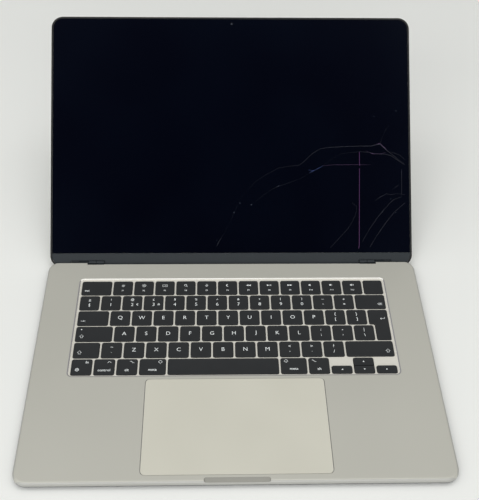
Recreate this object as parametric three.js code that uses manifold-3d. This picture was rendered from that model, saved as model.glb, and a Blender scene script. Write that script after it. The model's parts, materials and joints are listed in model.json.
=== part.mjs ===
// An open laptop with a cracked display, in millimetres, +Z up.
// X runs along the hinge, Y from the front edge towards the hinge, and z = 0 is the table under the feet.
import * as THREE from 'three';
import { mergeVertices } from 'three/addons/utils/BufferGeometryUtils.js';
import Module from 'manifold-3d';

const wasm = await Module();
wasm.setup();

// Body
const WIDTH = 340.4;
const DEPTH = 237.6;
const CORNER_RADIUS = 11;
const FOOT_HEIGHT = 0.7;
const BASE_HEIGHT = 6.9;
const WALL = 2.2;
const DECK_THICKNESS = 1;
const DECK_EDGE_RADIUS = 2.3;
const DECK_EDGE_STEPS = [1, 0.5, 0.2, 0.05, 0];
const BOTTOM_EDGE_STEP = 0.3;
const BOTTOM_EDGE_RADIUS = 3.2;
const COVER_THICKNESS = 1.1;
const COVER_SEAM = 0.2;
const SEAT_GAP = 0.3;

// Hinge and rear edge of the base
const OPEN_ANGLE = 137.5;
const AXIS_FROM_REAR = 4.5;
const AXIS_BELOW_DECK = 1;
const EAR_FROM_AXIS = 1.9;
const RECESS_FROM_AXIS = 3.7;
const POCKET_FROM_AXIS = 4;
const EAR_WIDTH = 35.4;
const POCKET_WIDTH = 15.4;
const REAR_WALL = 1.5;
const SWING_GAP = 0.3;
const KNUCKLE_RADIUS = 1.6;
const KNUCKLE_LENGTH = 6.6;
const KNUCKLE_GAP = 0.5;
const HINGE_PIN_RADIUS = 0.7;
const PIN_CLEARANCE = 0.15;
const HINGE_PLATE_THICKNESS = 1.3;
const HINGE_PLATE_DEPTH = 13;
const HINGE_PLATE_WIDTH = 30;

// Lid
const LID_THICKNESS = 3.7;
const LID_GAP = 0.2;
const LID_EDGE_RADIUS = 3;
const LID_SKIN = 0.95;
const LID_RIM = 0.6;
const LID_RIM_SET_BACK = 0.1;
const LEDGE_WIDTH = 1.8;
const GASKET_WIDTH = 1;
const GLAZING_GAP = 0.2;
const GLASS_SET_BACK = 0.2;
const GLASS_THICKNESS = 0.7;
const HINGE_COVER_TOP = 8.35;
const HINGE_COVER_POCKET_REACH = 2.3;
const PANEL_THICKNESS = 1.3;
const PANEL_BOTTOM = 11;
const PANEL_MARGIN = 1.4;
const CAMERA_NOTCH = { width: 34, height: 6.5 };
const CAMERA_BODY = { width: 28, height: 4.6, thickness: 1.1 };
const LENS_RADIUS = 1.6;
const LENS_RISE = 0.25;
const DISPLAY_BOARD = { hinge_gap: 12, height: 5.6, thickness: 0.9 };

// Keyboard
const KEY_PITCH_X = 18.98;
const KEY_PITCH_Y = 17.95;
const KEY_GAP = 1.95;
const KEY_DEPTH = 16.3;
const HALF_KEY_DEPTH = 7.8;
const KEY_RADIUS = 1.3;
const KEY_THICKNESS = 0.9;
const KEY_BELOW_DECK = 0.25;
const KEY_CLEARANCE = 0.25;
const KEY_HOLE_RADIUS = 0.9;
const KEY_SUPPORT_SIZE = 8;
const KEYS_FROM_REAR = 29.75;
const WELL_MARGIN = { side: 2.7, front: 2.4, rear: 3.15 };
const WELL_RADIUS = 4;
const WELL_DEPTH = 1.3;
const WEB_THICKNESS = 0.8;
const PAN_WALL = 1;
const PLATE_THICKNESS = 0.5;

// Each row from the front to the rear: key names with their widths in key pitches.
// A plain number is a key of one pitch that is carried by the plate.
const KEY_ROWS = [
  [['key_fn', 1], ['key_control', 1], ['key_alt_left', 1], ['key_meta_left', 1.25], ['key_space', 5],
    ['key_meta_right', 1.25], ['key_alt_right', 1], ['arrows', 3]],
  [['key_shift_left', 1.25], 11, ['key_shift_right', 2.25]],
  [['key_caps_lock', 1.75], 12, ['return_lower', 0.75]],
  [['key_tab', 1.5], 12, ['return_upper', 1]],
  [13, ['key_backspace', 1.5]],
  [['key_escape', 1.5], 12, ['key_power', 1]],
];
const ROW_PITCHES = KEY_ROWS[0].reduce((total, [, pitches]) => total + pitches, 0);

// Trackpad and finger notch
const TRACKPAD = { width: 148.2, front: 6.5, well_gap: 2.5, radius: 4 };
const TRACKPAD_GAP = 0.25;
const TRACKPAD_THICKNESS = 0.95;
const TRACKPAD_BELOW_DECK = 0.05;
const TRACKPAD_FRAME = { margin: 5, front_margin: 1.5, thickness: 0.6 };
const NOTCH = { width: 50.8, reach: 4.3, depth: 1.1 };

// Ports and jack, with their middles measured from the rear along the side walls
const PORT_SET_BACK = 0.5;
const PORT_CLEARANCE = 0.15;
const PORT_BELOW_DECK = 3.1;
const USB_PORT = { width: 8.9, height: 3.1, depth: 9.5, wall: 0.35, floor: 1 };
const USB_TONGUE = { width: 6.6, height: 0.7, set_back: 0.8 };
const CHARGE_PORT = { width: 17.6, height: 2.8, depth: 8, pocket: 1.4, margin: 0.5 };
const CHARGE_PINS = { count: 5, diameter: 1, pitch: 2.8, rise: 0.7 };
const PORTS_FROM_REAR = { charge: 25.6, usb_rear: 44.6, usb_front: 58.1, jack: 29.6 };
const JACK = { bore_radius: 1.8, collar_radius: 2.2, body: 6, body_height: 4.2, depth: 13, bore_depth: 11 };

// Feet and screws
const FOOT = { radius: 8.5, side_inset: 25, front_inset: 22, rear_inset: 24, crown: 0.25 };
const SCREW = { head_radius: 2, head_height: 0.55, shank_radius: 0.9, length: 3.4, rear_inset: 17 };
const SCREW_SINK = 0.15;
const SCREW_SIDE_INSET = 19.2;
const INNER_SCREW = 52;
const SCREW_CLEARANCE = 0.2;
const BOSS_RADIUS = 2.6;

// Inner pieces
const BATTERY_GAP = 2;
const BATTERY_FRONT = 14;
const BATTERY_SIDE_INSET = 7.2;
const SPEAKER = { pan_gap: 2.9, side_inset: 5, battery_gap: 5, board_gap: 3 };
const BOARD = { side_inset: 26.2, front_from_rear: 76.6, rear_inset: 21.6, thickness: 0.8 };
// Chips on the board, each with its width, depth and place from the middle
const CHIPS = [[34, 34, -30], [16, 24, 6], [16, 24, 26], [22, 18, 70], [18, 18, -84]];
const CHIP_THICKNESS = 0.6;
const CHIPS_FROM_REAR = 51.6;
const SPREADER = { width: 104, depth: 38, x: -8, thickness: 0.5 };
const FLEX = { width: 26, depth: 12.5, x: 75, wall_gap: 3, thickness: 0.2 };
const ANTENNA_BAR = { pocket_gap: 2.4, rise: 0.8, depth: 1.5, height: 3.1 };

// Cracks in the display glass, as points of distance from the middle and from the hinge axis
const CRACK_WIDTH = 0.45;
const CRACK_DEPTH = 0.2;
const CRACKS = [
  [[-14.6, 14.8], [2, 46.5], [7.6, 59.7], [22, 75.6], [30.8, 81.4], [43.8, 88.6], [64.1, 91.5], [77.2, 103.1],
    [91.7, 108.3], [132.3, 109.7], [141.1, 111.4], [152.6, 100.9], [164.1, 92.2]],
  [[141.1, 111.4], [144.8, 122.8], [150.1, 129.8], [164.1, 141.5]],
  [[18.3, 54], [36.4, 67.7], [43.7, 71.5], [62.5, 77.8], [85.7, 90.8], [103.2, 102], [122.1, 104.3],
    [145.3, 102], [161.3, 93.6]],
  [[85.7, 90.8], [106.1, 91.8], [132, 91.7]],
  [[161.3, 93.6], [161, 62.7], [150.8, 58.8], [135.9, 39.3], [122.7, 18.4]],
  [[135.4, 57.4], [146.3, 64.2], [161, 62.7]],
  [[163.6, 55.1], [147.5, 39.3], [130.1, 13.6]],
  [[114, 55.5], [117.9, 52.4], [113.4, 37.2], [93, 13.4]],
];

// Roundness of arcs
const CORNER_STEPS = 6;
const SMALL_CORNER_STEPS = 1;
const NOTCH_STEPS = 6;
const PORT_CORNER_STEPS = 4;
const ROUND_STEPS = 16;
const FOOT_STEPS = 20;
const SCREW_STEPS = 12;
const CRACK_OVERRUN = 0.5;
const CUT = 1;

// Heights and places worked out from the sizes above
const COVER_BOTTOM = FOOT_HEIGHT;
const COVER_TOP = COVER_BOTTOM + COVER_THICKNESS;
const CASE_BOTTOM = COVER_TOP + COVER_SEAM;
const DECK_TOP = COVER_BOTTOM + BASE_HEIGHT;
const DECK_UNDER = DECK_TOP - DECK_THICKNESS;
const WEB_TOP = DECK_TOP - WELL_DEPTH;
const WEB_UNDER = WEB_TOP - WEB_THICKNESS;
const PLATE_TOP = WEB_UNDER - SEAT_GAP;
const PLATE_BOTTOM = PLATE_TOP - PLATE_THICKNESS;
const KEY_TOP = DECK_TOP - KEY_BELOW_DECK;
const KEY_BOTTOM = KEY_TOP - KEY_THICKNESS;
const BOARD_TOP = PLATE_BOTTOM - SEAT_GAP;
const BOARD_BOTTOM = BOARD_TOP - BOARD.thickness;
const HALF_WIDTH = WIDTH / 2;
const RECESS_HALF_WIDTH = HALF_WIDTH - EAR_WIDTH;
const AXIS_Y = DEPTH - AXIS_FROM_REAR;
const AXIS_Z = DECK_TOP - AXIS_BELOW_DECK;
const EAR_Y = AXIS_Y - EAR_FROM_AXIS;
const RECESS_Y = AXIS_Y - RECESS_FROM_AXIS;
const POCKET_Y = AXIS_Y - POCKET_FROM_AXIS;
const FIRST_ROW_FRONT = DEPTH - KEYS_FROM_REAR - KEY_DEPTH - (KEY_ROWS.length - 1) * KEY_PITCH_Y;
const KEYS_HALF_WIDTH = (ROW_PITCHES * KEY_PITCH_X - KEY_GAP) / 2;
const WELL = {
  left: -KEYS_HALF_WIDTH - WELL_MARGIN.side,
  right: KEYS_HALF_WIDTH + WELL_MARGIN.side,
  front: FIRST_ROW_FRONT - WELL_MARGIN.front,
  rear: FIRST_ROW_FRONT + (KEY_ROWS.length - 1) * KEY_PITCH_Y + KEY_DEPTH + WELL_MARGIN.rear,
};
const PAD_HOLE = {
  left: -TRACKPAD.width / 2,
  right: TRACKPAD.width / 2,
  front: TRACKPAD.front,
  rear: WELL.front - TRACKPAD.well_gap,
};
const PORT_CENTRES = {
  charge: DEPTH - PORTS_FROM_REAR.charge,
  usb_rear: DEPTH - PORTS_FROM_REAR.usb_rear,
  usb_front: DEPTH - PORTS_FROM_REAR.usb_front,
  jack: DEPTH - PORTS_FROM_REAR.jack,
};
const SCREW_CENTRES = [SCREW_SIDE_INSET - HALF_WIDTH, -INNER_SCREW, INNER_SCREW, HALF_WIDTH - SCREW_SIDE_INSET];
const BOARD_SPAN = { front: DEPTH - BOARD.front_from_rear, rear: DEPTH - BOARD.rear_inset };
const BATTERY_SPAN = { front: BATTERY_FRONT, rear: PAD_HOLE.rear };

// The lid is drawn lying closed on the base, with the hinge axis at its origin:
// a distance from the axis runs towards the front edge, and a height is above the axis.
const GASKET_FACE = AXIS_BELOW_DECK + LID_GAP;
const RIM_FACE = GASKET_FACE + LID_RIM_SET_BACK;
const GLASS_FACE = GASKET_FACE + GLASS_SET_BACK;
const GLASS_BACK = GLASS_FACE + GLASS_THICKNESS;
const LEDGE = GLASS_BACK + SEAT_GAP;
const LID_BACK = GASKET_FACE + LID_THICKNESS;
const LID_FLOOR = LID_BACK - LID_SKIN;
const LID_OUTLINE = { left: -HALF_WIDTH, right: HALF_WIDTH, front: -AXIS_Y, rear: AXIS_FROM_REAR };
const GASKET_INSET = LID_RIM + GLAZING_GAP;
const GLASS_INSET = GASKET_INSET + GASKET_WIDTH + GLAZING_GAP;
const CAVITY_INSET = LID_RIM + LEDGE_WIDTH;

const FINISHES = {
  aluminium: { color: 0xb3b2a8, roughness: 0.42, metalness: 0.9 },
  key_plastic: { color: 0x3a3b3d, roughness: 0.6, metalness: 0 },
  trackpad_glass: { color: 0xc4c2b5, roughness: 0.35, metalness: 0.1 },
  display_glass: { color: 0x04050d, roughness: 0.08, metalness: 0 },
  black_plastic: { color: 0x3a3e40, roughness: 0.55, metalness: 0 },
  rubber: { color: 0x1b1c1d, roughness: 0.85, metalness: 0 },
  steel: { color: 0x8d9092, roughness: 0.35, metalness: 1 },
  circuit_board: { color: 0x14231c, roughness: 0.5, metalness: 0 },
  battery_film: { color: 0x1f2022, roughness: 0.5, metalness: 0 },
  flex_film: { color: 0x6e4a1e, roughness: 0.5, metalness: 0 },
};

// Outlines and solids

function inset(box, distance) {
  return {
    left: box.left + distance,
    right: box.right - distance,
    front: box.front + distance,
    rear: box.rear - distance,
  };
}

function centredBox(x, y, width, depth) {
  return { left: x - width / 2, right: x + width / 2, front: y - depth / 2, rear: y + depth / 2 };
}

// A box between two places along X, given in either order
function between(here, there, span) {
  return { left: Math.min(here, there), right: Math.max(here, there), ...span };
}

function roundedOutline(box, radius, steps = CORNER_STEPS) {
  const corners = [
    [box.right - radius, box.front + radius, -90],
    [box.right - radius, box.rear - radius, 0],
    [box.left + radius, box.rear - radius, 90],
    [box.left + radius, box.front + radius, 180],
  ];
  return corners.flatMap(([x, y, start]) => Array.from({ length: steps + 1 }, (_, step) => {
    const angle = THREE.MathUtils.degToRad(start + (90 * step) / steps);
    return new THREE.Vector2(x + radius * Math.cos(angle), y + radius * Math.sin(angle));
  }));
}

function prism(outline, bottom, top) {
  const shape = new THREE.Shape(outline);
  const geometry = new THREE.ExtrudeGeometry(shape, { depth: top - bottom, bevelEnabled: false });
  return geometry.translate(0, 0, bottom);
}

function block(box, bottom, top) {
  const geometry = new THREE.BoxGeometry(box.right - box.left, box.rear - box.front, top - bottom);
  return geometry.translate((box.left + box.right) / 2, (box.front + box.rear) / 2, (bottom + top) / 2);
}

// A solid through outlines of equally many points at rising heights
function stack(rings) {
  const count = rings[0].outline.length;
  const positions = rings.flatMap(({ outline, z }) => outline.flatMap((point) => [point.x, point.y, z]));
  const index = [];
  for (let ring = 0; ring < rings.length - 1; ring += 1) {
    for (let here = 0; here < count; here += 1) {
      const next = (here + 1) % count;
      const low = ring * count;
      const high = low + count;
      index.push(low + here, low + next, high + next, low + here, high + next, high + here);
    }
  }
  const last = (rings.length - 1) * count;
  for (const [a, b, c] of THREE.ShapeUtils.triangulateShape(rings[0].outline, [])) {
    index.push(a, c, b, last + a, last + b, last + c);
  }
  const geometry = new THREE.BufferGeometry();
  geometry.setAttribute('position', new THREE.Float32BufferAttribute(positions, 3));
  geometry.setIndex(index);
  geometry.computeVertexNormals();
  return geometry;
}

function roundedSlab(box, radius, bands) {
  return stack(bands.map(({ z, edge }) => ({ z, outline: roundedOutline(inset(box, edge), radius - edge) })));
}

// A rod of the section given in Y and Z, from one X to another
function alongX(section, from, to) {
  const turned = section.map((point) => new THREE.Vector2(point.x, point.y));
  return prism(turned, 0, to - from).applyMatrix4(new THREE.Matrix4().set(
    0, 0, 1, from,
    1, 0, 0, 0,
    0, 1, 0, 0,
    0, 0, 0, 1,
  ));
}

function circle(radius, x = 0, y = 0, steps = ROUND_STEPS) {
  return Array.from({ length: steps }, (_, step) => {
    const angle = (2 * Math.PI * step) / steps;
    return new THREE.Vector2(x + radius * Math.cos(angle), y + radius * Math.sin(angle));
  });
}

// How far an edge rounded from the height of its flat face is set in at a distance from that face
function roundedEdge(radius, fromFace) {
  return fromFace >= radius ? 0 : radius - Math.sqrt(radius ** 2 - (radius - fromFace) ** 2);
}

// Joining and cutting

function toSolid(geometry) {
  const bare = geometry.clone();
  bare.deleteAttribute('normal');
  bare.deleteAttribute('uv');
  const merged = mergeVertices(bare, 1e-4);
  return new wasm.Manifold(new wasm.Mesh({
    numProp: 3,
    vertProperties: merged.attributes.position.array,
    triVerts: Uint32Array.from(merged.index.array),
  }));
}

function toGeometry(solid) {
  const mesh = solid.getMesh();
  const geometry = new THREE.BufferGeometry();
  geometry.setAttribute('position', new THREE.BufferAttribute(mesh.vertProperties, 3));
  geometry.setIndex(new THREE.BufferAttribute(mesh.triVerts, 1));
  geometry.computeVertexNormals();
  return geometry;
}

function join(geometries) {
  return geometries.map(toSolid).reduce((whole, solid) => whole.add(solid));
}

function cut(solid, geometries) {
  return solid.subtract(join(geometries));
}

function piece(name, finish, shape, place = [0, 0, 0]) {
  const geometry = shape.isBufferGeometry ? shape : toGeometry(shape);
  const mesh = new THREE.Mesh(geometry, new THREE.MeshStandardMaterial(FINISHES[finish]));
  mesh.name = name;
  mesh.position.set(...place);
  return mesh;
}

// Keys

function keyBoxes() {
  const boxes = [];
  KEY_ROWS.forEach((row, rowNumber) => {
    const front = FIRST_ROW_FRONT + rowNumber * KEY_PITCH_Y;
    let start = -KEYS_HALF_WIDTH;
    const addKey = (name, pitches) => {
      const right = start + pitches * KEY_PITCH_X - KEY_GAP;
      boxes.push({ name, box: { left: start, right, front, rear: front + KEY_DEPTH } });
      start += pitches * KEY_PITCH_X;
    };
    for (const entry of row) {
      if (typeof entry === 'number') {
        for (let count = 0; count < entry; count += 1) addKey(null, 1);
      } else {
        addKey(...entry);
      }
    }
  });
  return boxes;
}

function grow(box, distance) {
  return inset(box, -distance);
}

function arrowBoxes(area) {
  const width = KEY_PITCH_X - KEY_GAP;
  const column = (number) => area.left + number * KEY_PITCH_X;
  const half = (number, front) => (
    { left: column(number), right: column(number) + width, front, rear: front + HALF_KEY_DEPTH });
  return {
    key_arrow_left: half(0, area.front),
    key_arrow_down: half(1, area.front),
    key_arrow_up: half(1, area.rear - HALF_KEY_DEPTH),
    key_arrow_right: half(2, area.front),
  };
}

// The return key fills the end of two rows: the upper arm is wider than the lower one.
function returnOutline(upper, lower, margin, radius) {
  const wide = grow(upper, margin);
  const narrow = grow(lower, margin);
  const arm = { ...narrow, rear: wide.rear };
  return {
    wide: roundedOutline(wide, radius, SMALL_CORNER_STEPS),
    arm: roundedOutline(arm, radius, SMALL_CORNER_STEPS),
  };
}

function keyGrid() {
  const all = keyBoxes();
  const find = (name) => all.find((key) => key.name === name).box;
  const named = all.filter(({ name }) => name && name.startsWith('key_'));
  const arrows = Object.entries(arrowBoxes(find('arrows'))).map(([name, box]) => ({ name, box }));
  return {
    carried: all.filter(({ name }) => name === null).map(({ box }) => box),
    moving: [...named, ...arrows],
    arrows: arrowBoxes(find('arrows')),
    returnUpper: find('return_upper'),
    returnLower: find('return_lower'),
  };
}

const KEYS = keyGrid();

function keyHoles() {
  const bottom = WEB_UNDER - CUT;
  const top = WEB_TOP + CUT;
  const hole = (box) => prism(
    roundedOutline(grow(box, KEY_CLEARANCE), KEY_HOLE_RADIUS, SMALL_CORNER_STEPS), bottom, top);
  const { key_arrow_up: up, key_arrow_down: down } = KEYS.arrows;
  const shared = { ...down, rear: up.rear };
  const single = KEYS.moving.filter(({ name }) => name !== 'key_arrow_up' && name !== 'key_arrow_down');
  const bent = returnOutline(KEYS.returnUpper, KEYS.returnLower, KEY_CLEARANCE, KEY_HOLE_RADIUS);
  return [
    ...KEYS.carried.map(hole),
    ...single.map(({ box }) => hole(box)),
    hole(shared),
    prism(bent.wide, bottom, top),
    prism(bent.arm, bottom, top),
  ];
}

function keycap(box) {
  const centred = centredBox(0, 0, box.right - box.left, box.rear - box.front);
  return {
    shape: prism(roundedOutline(centred, KEY_RADIUS, SMALL_CORNER_STEPS), 0, KEY_THICKNESS),
    place: [(box.left + box.right) / 2, (box.front + box.rear) / 2, KEY_BOTTOM],
  };
}

function movingKeys() {
  const keys = KEYS.moving.map(({ name, box }) => {
    const { shape, place } = keycap(box);
    return piece(name, 'key_plastic', shape, place);
  });
  const bent = returnOutline(KEYS.returnUpper, KEYS.returnLower, 0, KEY_RADIUS);
  const cap = join([prism(bent.wide, 0, KEY_THICKNESS), prism(bent.arm, 0, KEY_THICKNESS)]);
  return [...keys, piece('key_return', 'key_plastic', cap, [0, 0, KEY_BOTTOM])];
}

// The plate under the web, with the keycaps that it carries on their supports
function keyboardPlate() {
  const solids = [block(inset(WELL, PAN_WALL), PLATE_BOTTOM, PLATE_TOP)];
  for (const box of KEYS.carried) {
    const { shape, place } = keycap(box);
    const support = centredBox(place[0], place[1], KEY_SUPPORT_SIZE, KEY_SUPPORT_SIZE);
    solids.push(shape.translate(...place), block(support, PLATE_BOTTOM, KEY_BOTTOM + KEY_THICKNESS / 2));
  }
  return piece('keyboard_plate', 'key_plastic', join(solids));
}

// Base

// The rounded slab runs on past the ears, and is cut off flat there.
const BASE_OUTLINE = { left: -HALF_WIDTH, right: HALF_WIDTH, front: 0, rear: EAR_Y + DECK_EDGE_RADIUS };

function bottomEdge(z) {
  return roundedEdge(BOTTOM_EDGE_RADIUS, z - COVER_BOTTOM);
}

function bottomBands(heights) {
  return heights.map((z) => ({ z, edge: bottomEdge(z) }));
}

// What the rear edge of the base leaves free: the recess between the ears, the two hinge pockets in it,
// and the path of the rear edge of the lid, which swings under the ears.
function rearCuts() {
  const low = COVER_BOTTOM - CUT;
  const high = DECK_TOP + CUT;
  const ends = { left: -HALF_WIDTH - CUT, right: HALF_WIDTH + CUT, front: EAR_Y, rear: DEPTH };
  const recess = { left: -RECESS_HALF_WIDTH, right: RECESS_HALF_WIDTH, front: RECESS_Y, rear: DEPTH };
  const pocket = (side) => between(side * (RECESS_HALF_WIDTH - POCKET_WIDTH), side * RECESS_HALF_WIDTH,
    { front: POCKET_Y, rear: RECESS_Y + CUT });
  const edgeCentre = { y: AXIS_FROM_REAR - LID_EDGE_RADIUS, z: LID_BACK - LID_EDGE_RADIUS };
  const swingRadius = Math.hypot(edgeCentre.y, edgeCentre.z) + LID_EDGE_RADIUS + SWING_GAP;
  const chord = GASKET_FACE - SWING_GAP;
  const facing = THREE.MathUtils.degToRad(90 - OPEN_ANGLE);
  const spread = Math.acos(chord / swingRadius);
  const swing = Array.from({ length: ROUND_STEPS + 1 }, (_, step) => {
    const angle = facing - spread + (2 * spread * step) / ROUND_STEPS;
    return new THREE.Vector2(
      AXIS_Y + swingRadius * Math.cos(angle),
      AXIS_Z + swingRadius * Math.sin(angle),
    );
  });
  return [
    block(ends, low, high),
    block(recess, low, high),
    block(pocket(-1), low, high),
    block(pocket(1), low, high),
    alongX(swing, -HALF_WIDTH - CUT, HALF_WIDTH + CUT),
  ];
}

// A shallow scoop at the middle of the front edge, deepest at the edge
function notchCut() {
  const section = Array.from({ length: NOTCH_STEPS + 1 }, (_, step) => {
    const angle = (Math.PI / 2) * (step / NOTCH_STEPS);
    return new THREE.Vector2(NOTCH.reach * Math.sin(angle), DECK_TOP - NOTCH.depth * Math.cos(angle));
  });
  section.push(new THREE.Vector2(NOTCH.reach, DECK_TOP + CUT));
  section.push(new THREE.Vector2(-CUT, DECK_TOP + CUT));
  section.push(new THREE.Vector2(-CUT, DECK_TOP - NOTCH.depth));
  return alongX(section, -NOTCH.width / 2, NOTCH.width / 2);
}

const PORT_Z = DECK_TOP - PORT_BELOW_DECK;

// A slot seen along X, centred at a distance from the front edge
function slotAlongX(width, height, centre, from, to) {
  const radius = height / 2 - 1e-2;
  const section = roundedOutline(centredBox(centre, PORT_Z, width, height), radius, PORT_CORNER_STEPS);
  return alongX(section, from, to);
}

function roundAlongX(radius, centre, height, from, to, steps = ROUND_STEPS) {
  return alongX(circle(radius, centre, height, steps), from, to);
}

function portHoles() {
  const outside = -HALF_WIDTH - CUT;
  const inside = -HALF_WIDTH + WALL + CUT;
  const slot = (port, centre) => slotAlongX(
    port.width + 2 * PORT_CLEARANCE, port.height + 2 * PORT_CLEARANCE, centre, outside, inside);
  return [
    slot(CHARGE_PORT, PORT_CENTRES.charge),
    slot(USB_PORT, PORT_CENTRES.usb_rear),
    slot(USB_PORT, PORT_CENTRES.usb_front),
    roundAlongX(JACK.collar_radius + PORT_CLEARANCE, PORT_CENTRES.jack, PORT_Z, -inside, -outside),
  ];
}

const BRACKET_ARM_TOP = DECK_UNDER - SEAT_GAP;
const BRACKET_ARM_BOTTOM = BRACKET_ARM_TOP - HINGE_PLATE_THICKNESS;
const INNER_KNUCKLE = RECESS_HALF_WIDTH - POCKET_WIDTH + KNUCKLE_GAP;
const OUTER_KNUCKLE = INNER_KNUCKLE + KNUCKLE_LENGTH + KNUCKLE_GAP;
const SCREW_Y = DEPTH - SCREW.rear_inset;

function armSlots() {
  const span = { front: POCKET_Y - REAR_WALL - CUT, rear: AXIS_Y };
  return [-1, 1].map((side) => block(
    between(side * (INNER_KNUCKLE - SEAT_GAP), side * (INNER_KNUCKLE + KNUCKLE_LENGTH + SEAT_GAP), span),
    BRACKET_ARM_BOTTOM - SEAT_GAP, DECK_UNDER));
}

function topCase() {
  const shell = roundedSlab(BASE_OUTLINE, CORNER_RADIUS, [
    ...bottomBands([CASE_BOTTOM, CASE_BOTTOM + 2 * BOTTOM_EDGE_STEP, COVER_BOTTOM + BOTTOM_EDGE_RADIUS]),
    ...DECK_EDGE_STEPS.map((share) => ({
      z: DECK_TOP - DECK_EDGE_RADIUS * share,
      edge: roundedEdge(DECK_EDGE_RADIUS, DECK_EDGE_RADIUS * share),
    })),
  ]);
  const hollow = { ...inset(BASE_OUTLINE, WALL), front: NOTCH.reach, rear: POCKET_Y - REAR_WALL };
  const cavity = prism(roundedOutline(hollow, CORNER_RADIUS - WALL), CASE_BOTTOM - CUT, DECK_UNDER);
  const pan = prism(
    roundedOutline(grow(WELL, PAN_WALL), WELL_RADIUS + PAN_WALL), WEB_UNDER, DECK_UNDER + DECK_THICKNESS / 2);
  const bosses = SCREW_CENTRES.map((x) => prism(
    circle(BOSS_RADIUS, x, SCREW_Y, SCREW_STEPS), CASE_BOTTOM, DECK_UNDER + DECK_THICKNESS / 2));
  const solid = cut(toSolid(shell), [cavity]).add(join([pan, ...bosses]));
  return piece('top_case', 'aluminium', cut(solid, [
    prism(roundedOutline(WELL, WELL_RADIUS), WEB_TOP, DECK_TOP + CUT),
    prism(roundedOutline(PAD_HOLE, TRACKPAD.radius), DECK_UNDER - CUT, DECK_TOP + CUT),
    ...keyHoles(),
    ...rearCuts(),
    ...portHoles(),
    ...armSlots(),
    ...SCREW_CENTRES.map((x) => screwHole(x, SCREW.shank_radius + SCREW_CLEARANCE, SCREW.length)),
    notchCut(),
  ]));
}

// A hole for a screw from under the bottom cover to a height above the cover's underside
function screwHole(x, radius, height) {
  return prism(circle(radius, x, SCREW_Y, SCREW_STEPS), COVER_BOTTOM - CUT, COVER_BOTTOM + height + SEAT_GAP);
}

function bottomCover() {
  const plate = roundedSlab(BASE_OUTLINE, CORNER_RADIUS, bottomBands([
    COVER_BOTTOM, COVER_BOTTOM + BOTTOM_EDGE_STEP, COVER_TOP]));
  const through = SCREW.shank_radius + SCREW_CLEARANCE;
  const sunk = SCREW.head_radius + SCREW_CLEARANCE;
  return piece('bottom_cover', 'aluminium', cut(toSolid(plate), [
    ...rearCuts(),
    ...SCREW_CENTRES.map((x) => screwHole(x, through, COVER_THICKNESS)),
    ...SCREW_CENTRES.map((x) => screwHole(x, sunk, SCREW_SINK + SCREW.head_height - SCREW_CLEARANCE)),
  ]));
}

function coverScrews() {
  const profile = [
    [0, 0],
    [SCREW.head_radius, 0],
    [SCREW.head_radius, SCREW.head_height],
    [SCREW.shank_radius, SCREW.head_height],
    [SCREW.shank_radius, SCREW.length - SCREW_SINK],
    [0, SCREW.length - SCREW_SINK],
  ].map(([x, y]) => new THREE.Vector2(x, y));
  return SCREW_CENTRES.map((x, number) => piece(
    `cover_screw_${number + 1}`, 'steel',
    new THREE.LatheGeometry(profile, SCREW_STEPS).rotateX(Math.PI / 2),
    [x, SCREW_Y, COVER_BOTTOM + SCREW_SINK]));
}

function feet() {
  const profile = [
    [0, 0],
    [FOOT.radius - 2 * FOOT.crown, 0],
    [FOOT.radius, FOOT.crown],
    [FOOT.radius, FOOT_HEIGHT],
    [0, FOOT_HEIGHT],
  ].map(([x, y]) => new THREE.Vector2(x, y));
  const sides = { left: -HALF_WIDTH + FOOT.side_inset, right: HALF_WIDTH - FOOT.side_inset };
  const ends = { front: FOOT.front_inset, rear: DEPTH - FOOT.rear_inset };
  return Object.entries(ends).flatMap(([end, y]) => Object.entries(sides).map(([side, x]) => piece(
    `foot_${end}_${side}`, 'rubber',
    new THREE.LatheGeometry(profile, FOOT_STEPS).rotateX(Math.PI / 2),
    [x, y, 0])));
}

function trackpad() {
  const top = DECK_TOP - TRACKPAD_BELOW_DECK;
  const outline = roundedOutline(inset(PAD_HOLE, TRACKPAD_GAP), TRACKPAD.radius - TRACKPAD_GAP);
  const glass = prism(outline, top - TRACKPAD_THICKNESS, top);
  const frameTop = DECK_UNDER - SEAT_GAP;
  const frame = {
    ...grow(PAD_HOLE, TRACKPAD_FRAME.margin),
    front: PAD_HOLE.front - TRACKPAD_FRAME.front_margin,
    rear: WELL.front - PAN_WALL - SEAT_GAP,
  };
  return [
    piece('trackpad_glass', 'trackpad_glass', glass),
    piece('trackpad_frame', 'steel', block(frame, frameTop - TRACKPAD_FRAME.thickness, frameTop)),
  ];
}

// Ports

function usbPort(name, centre) {
  const mouth = -HALF_WIDTH + PORT_SET_BACK;
  const back = mouth + USB_PORT.depth;
  const hollow = slotAlongX(
    USB_PORT.width - 2 * USB_PORT.wall, USB_PORT.height - 2 * USB_PORT.wall, centre,
    mouth - CUT, back - USB_PORT.floor);
  const halfTongue = { y: USB_TONGUE.width / 2, z: USB_TONGUE.height / 2 };
  const tongue = block({
    left: mouth + USB_TONGUE.set_back,
    right: back - USB_PORT.floor / 2,
    front: centre - halfTongue.y,
    rear: centre + halfTongue.y,
  }, PORT_Z - halfTongue.z, PORT_Z + halfTongue.z);
  const shell = cut(toSolid(slotAlongX(USB_PORT.width, USB_PORT.height, centre, mouth, back)), [hollow]);
  return piece(name, 'steel', shell.add(toSolid(tongue)));
}

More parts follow.
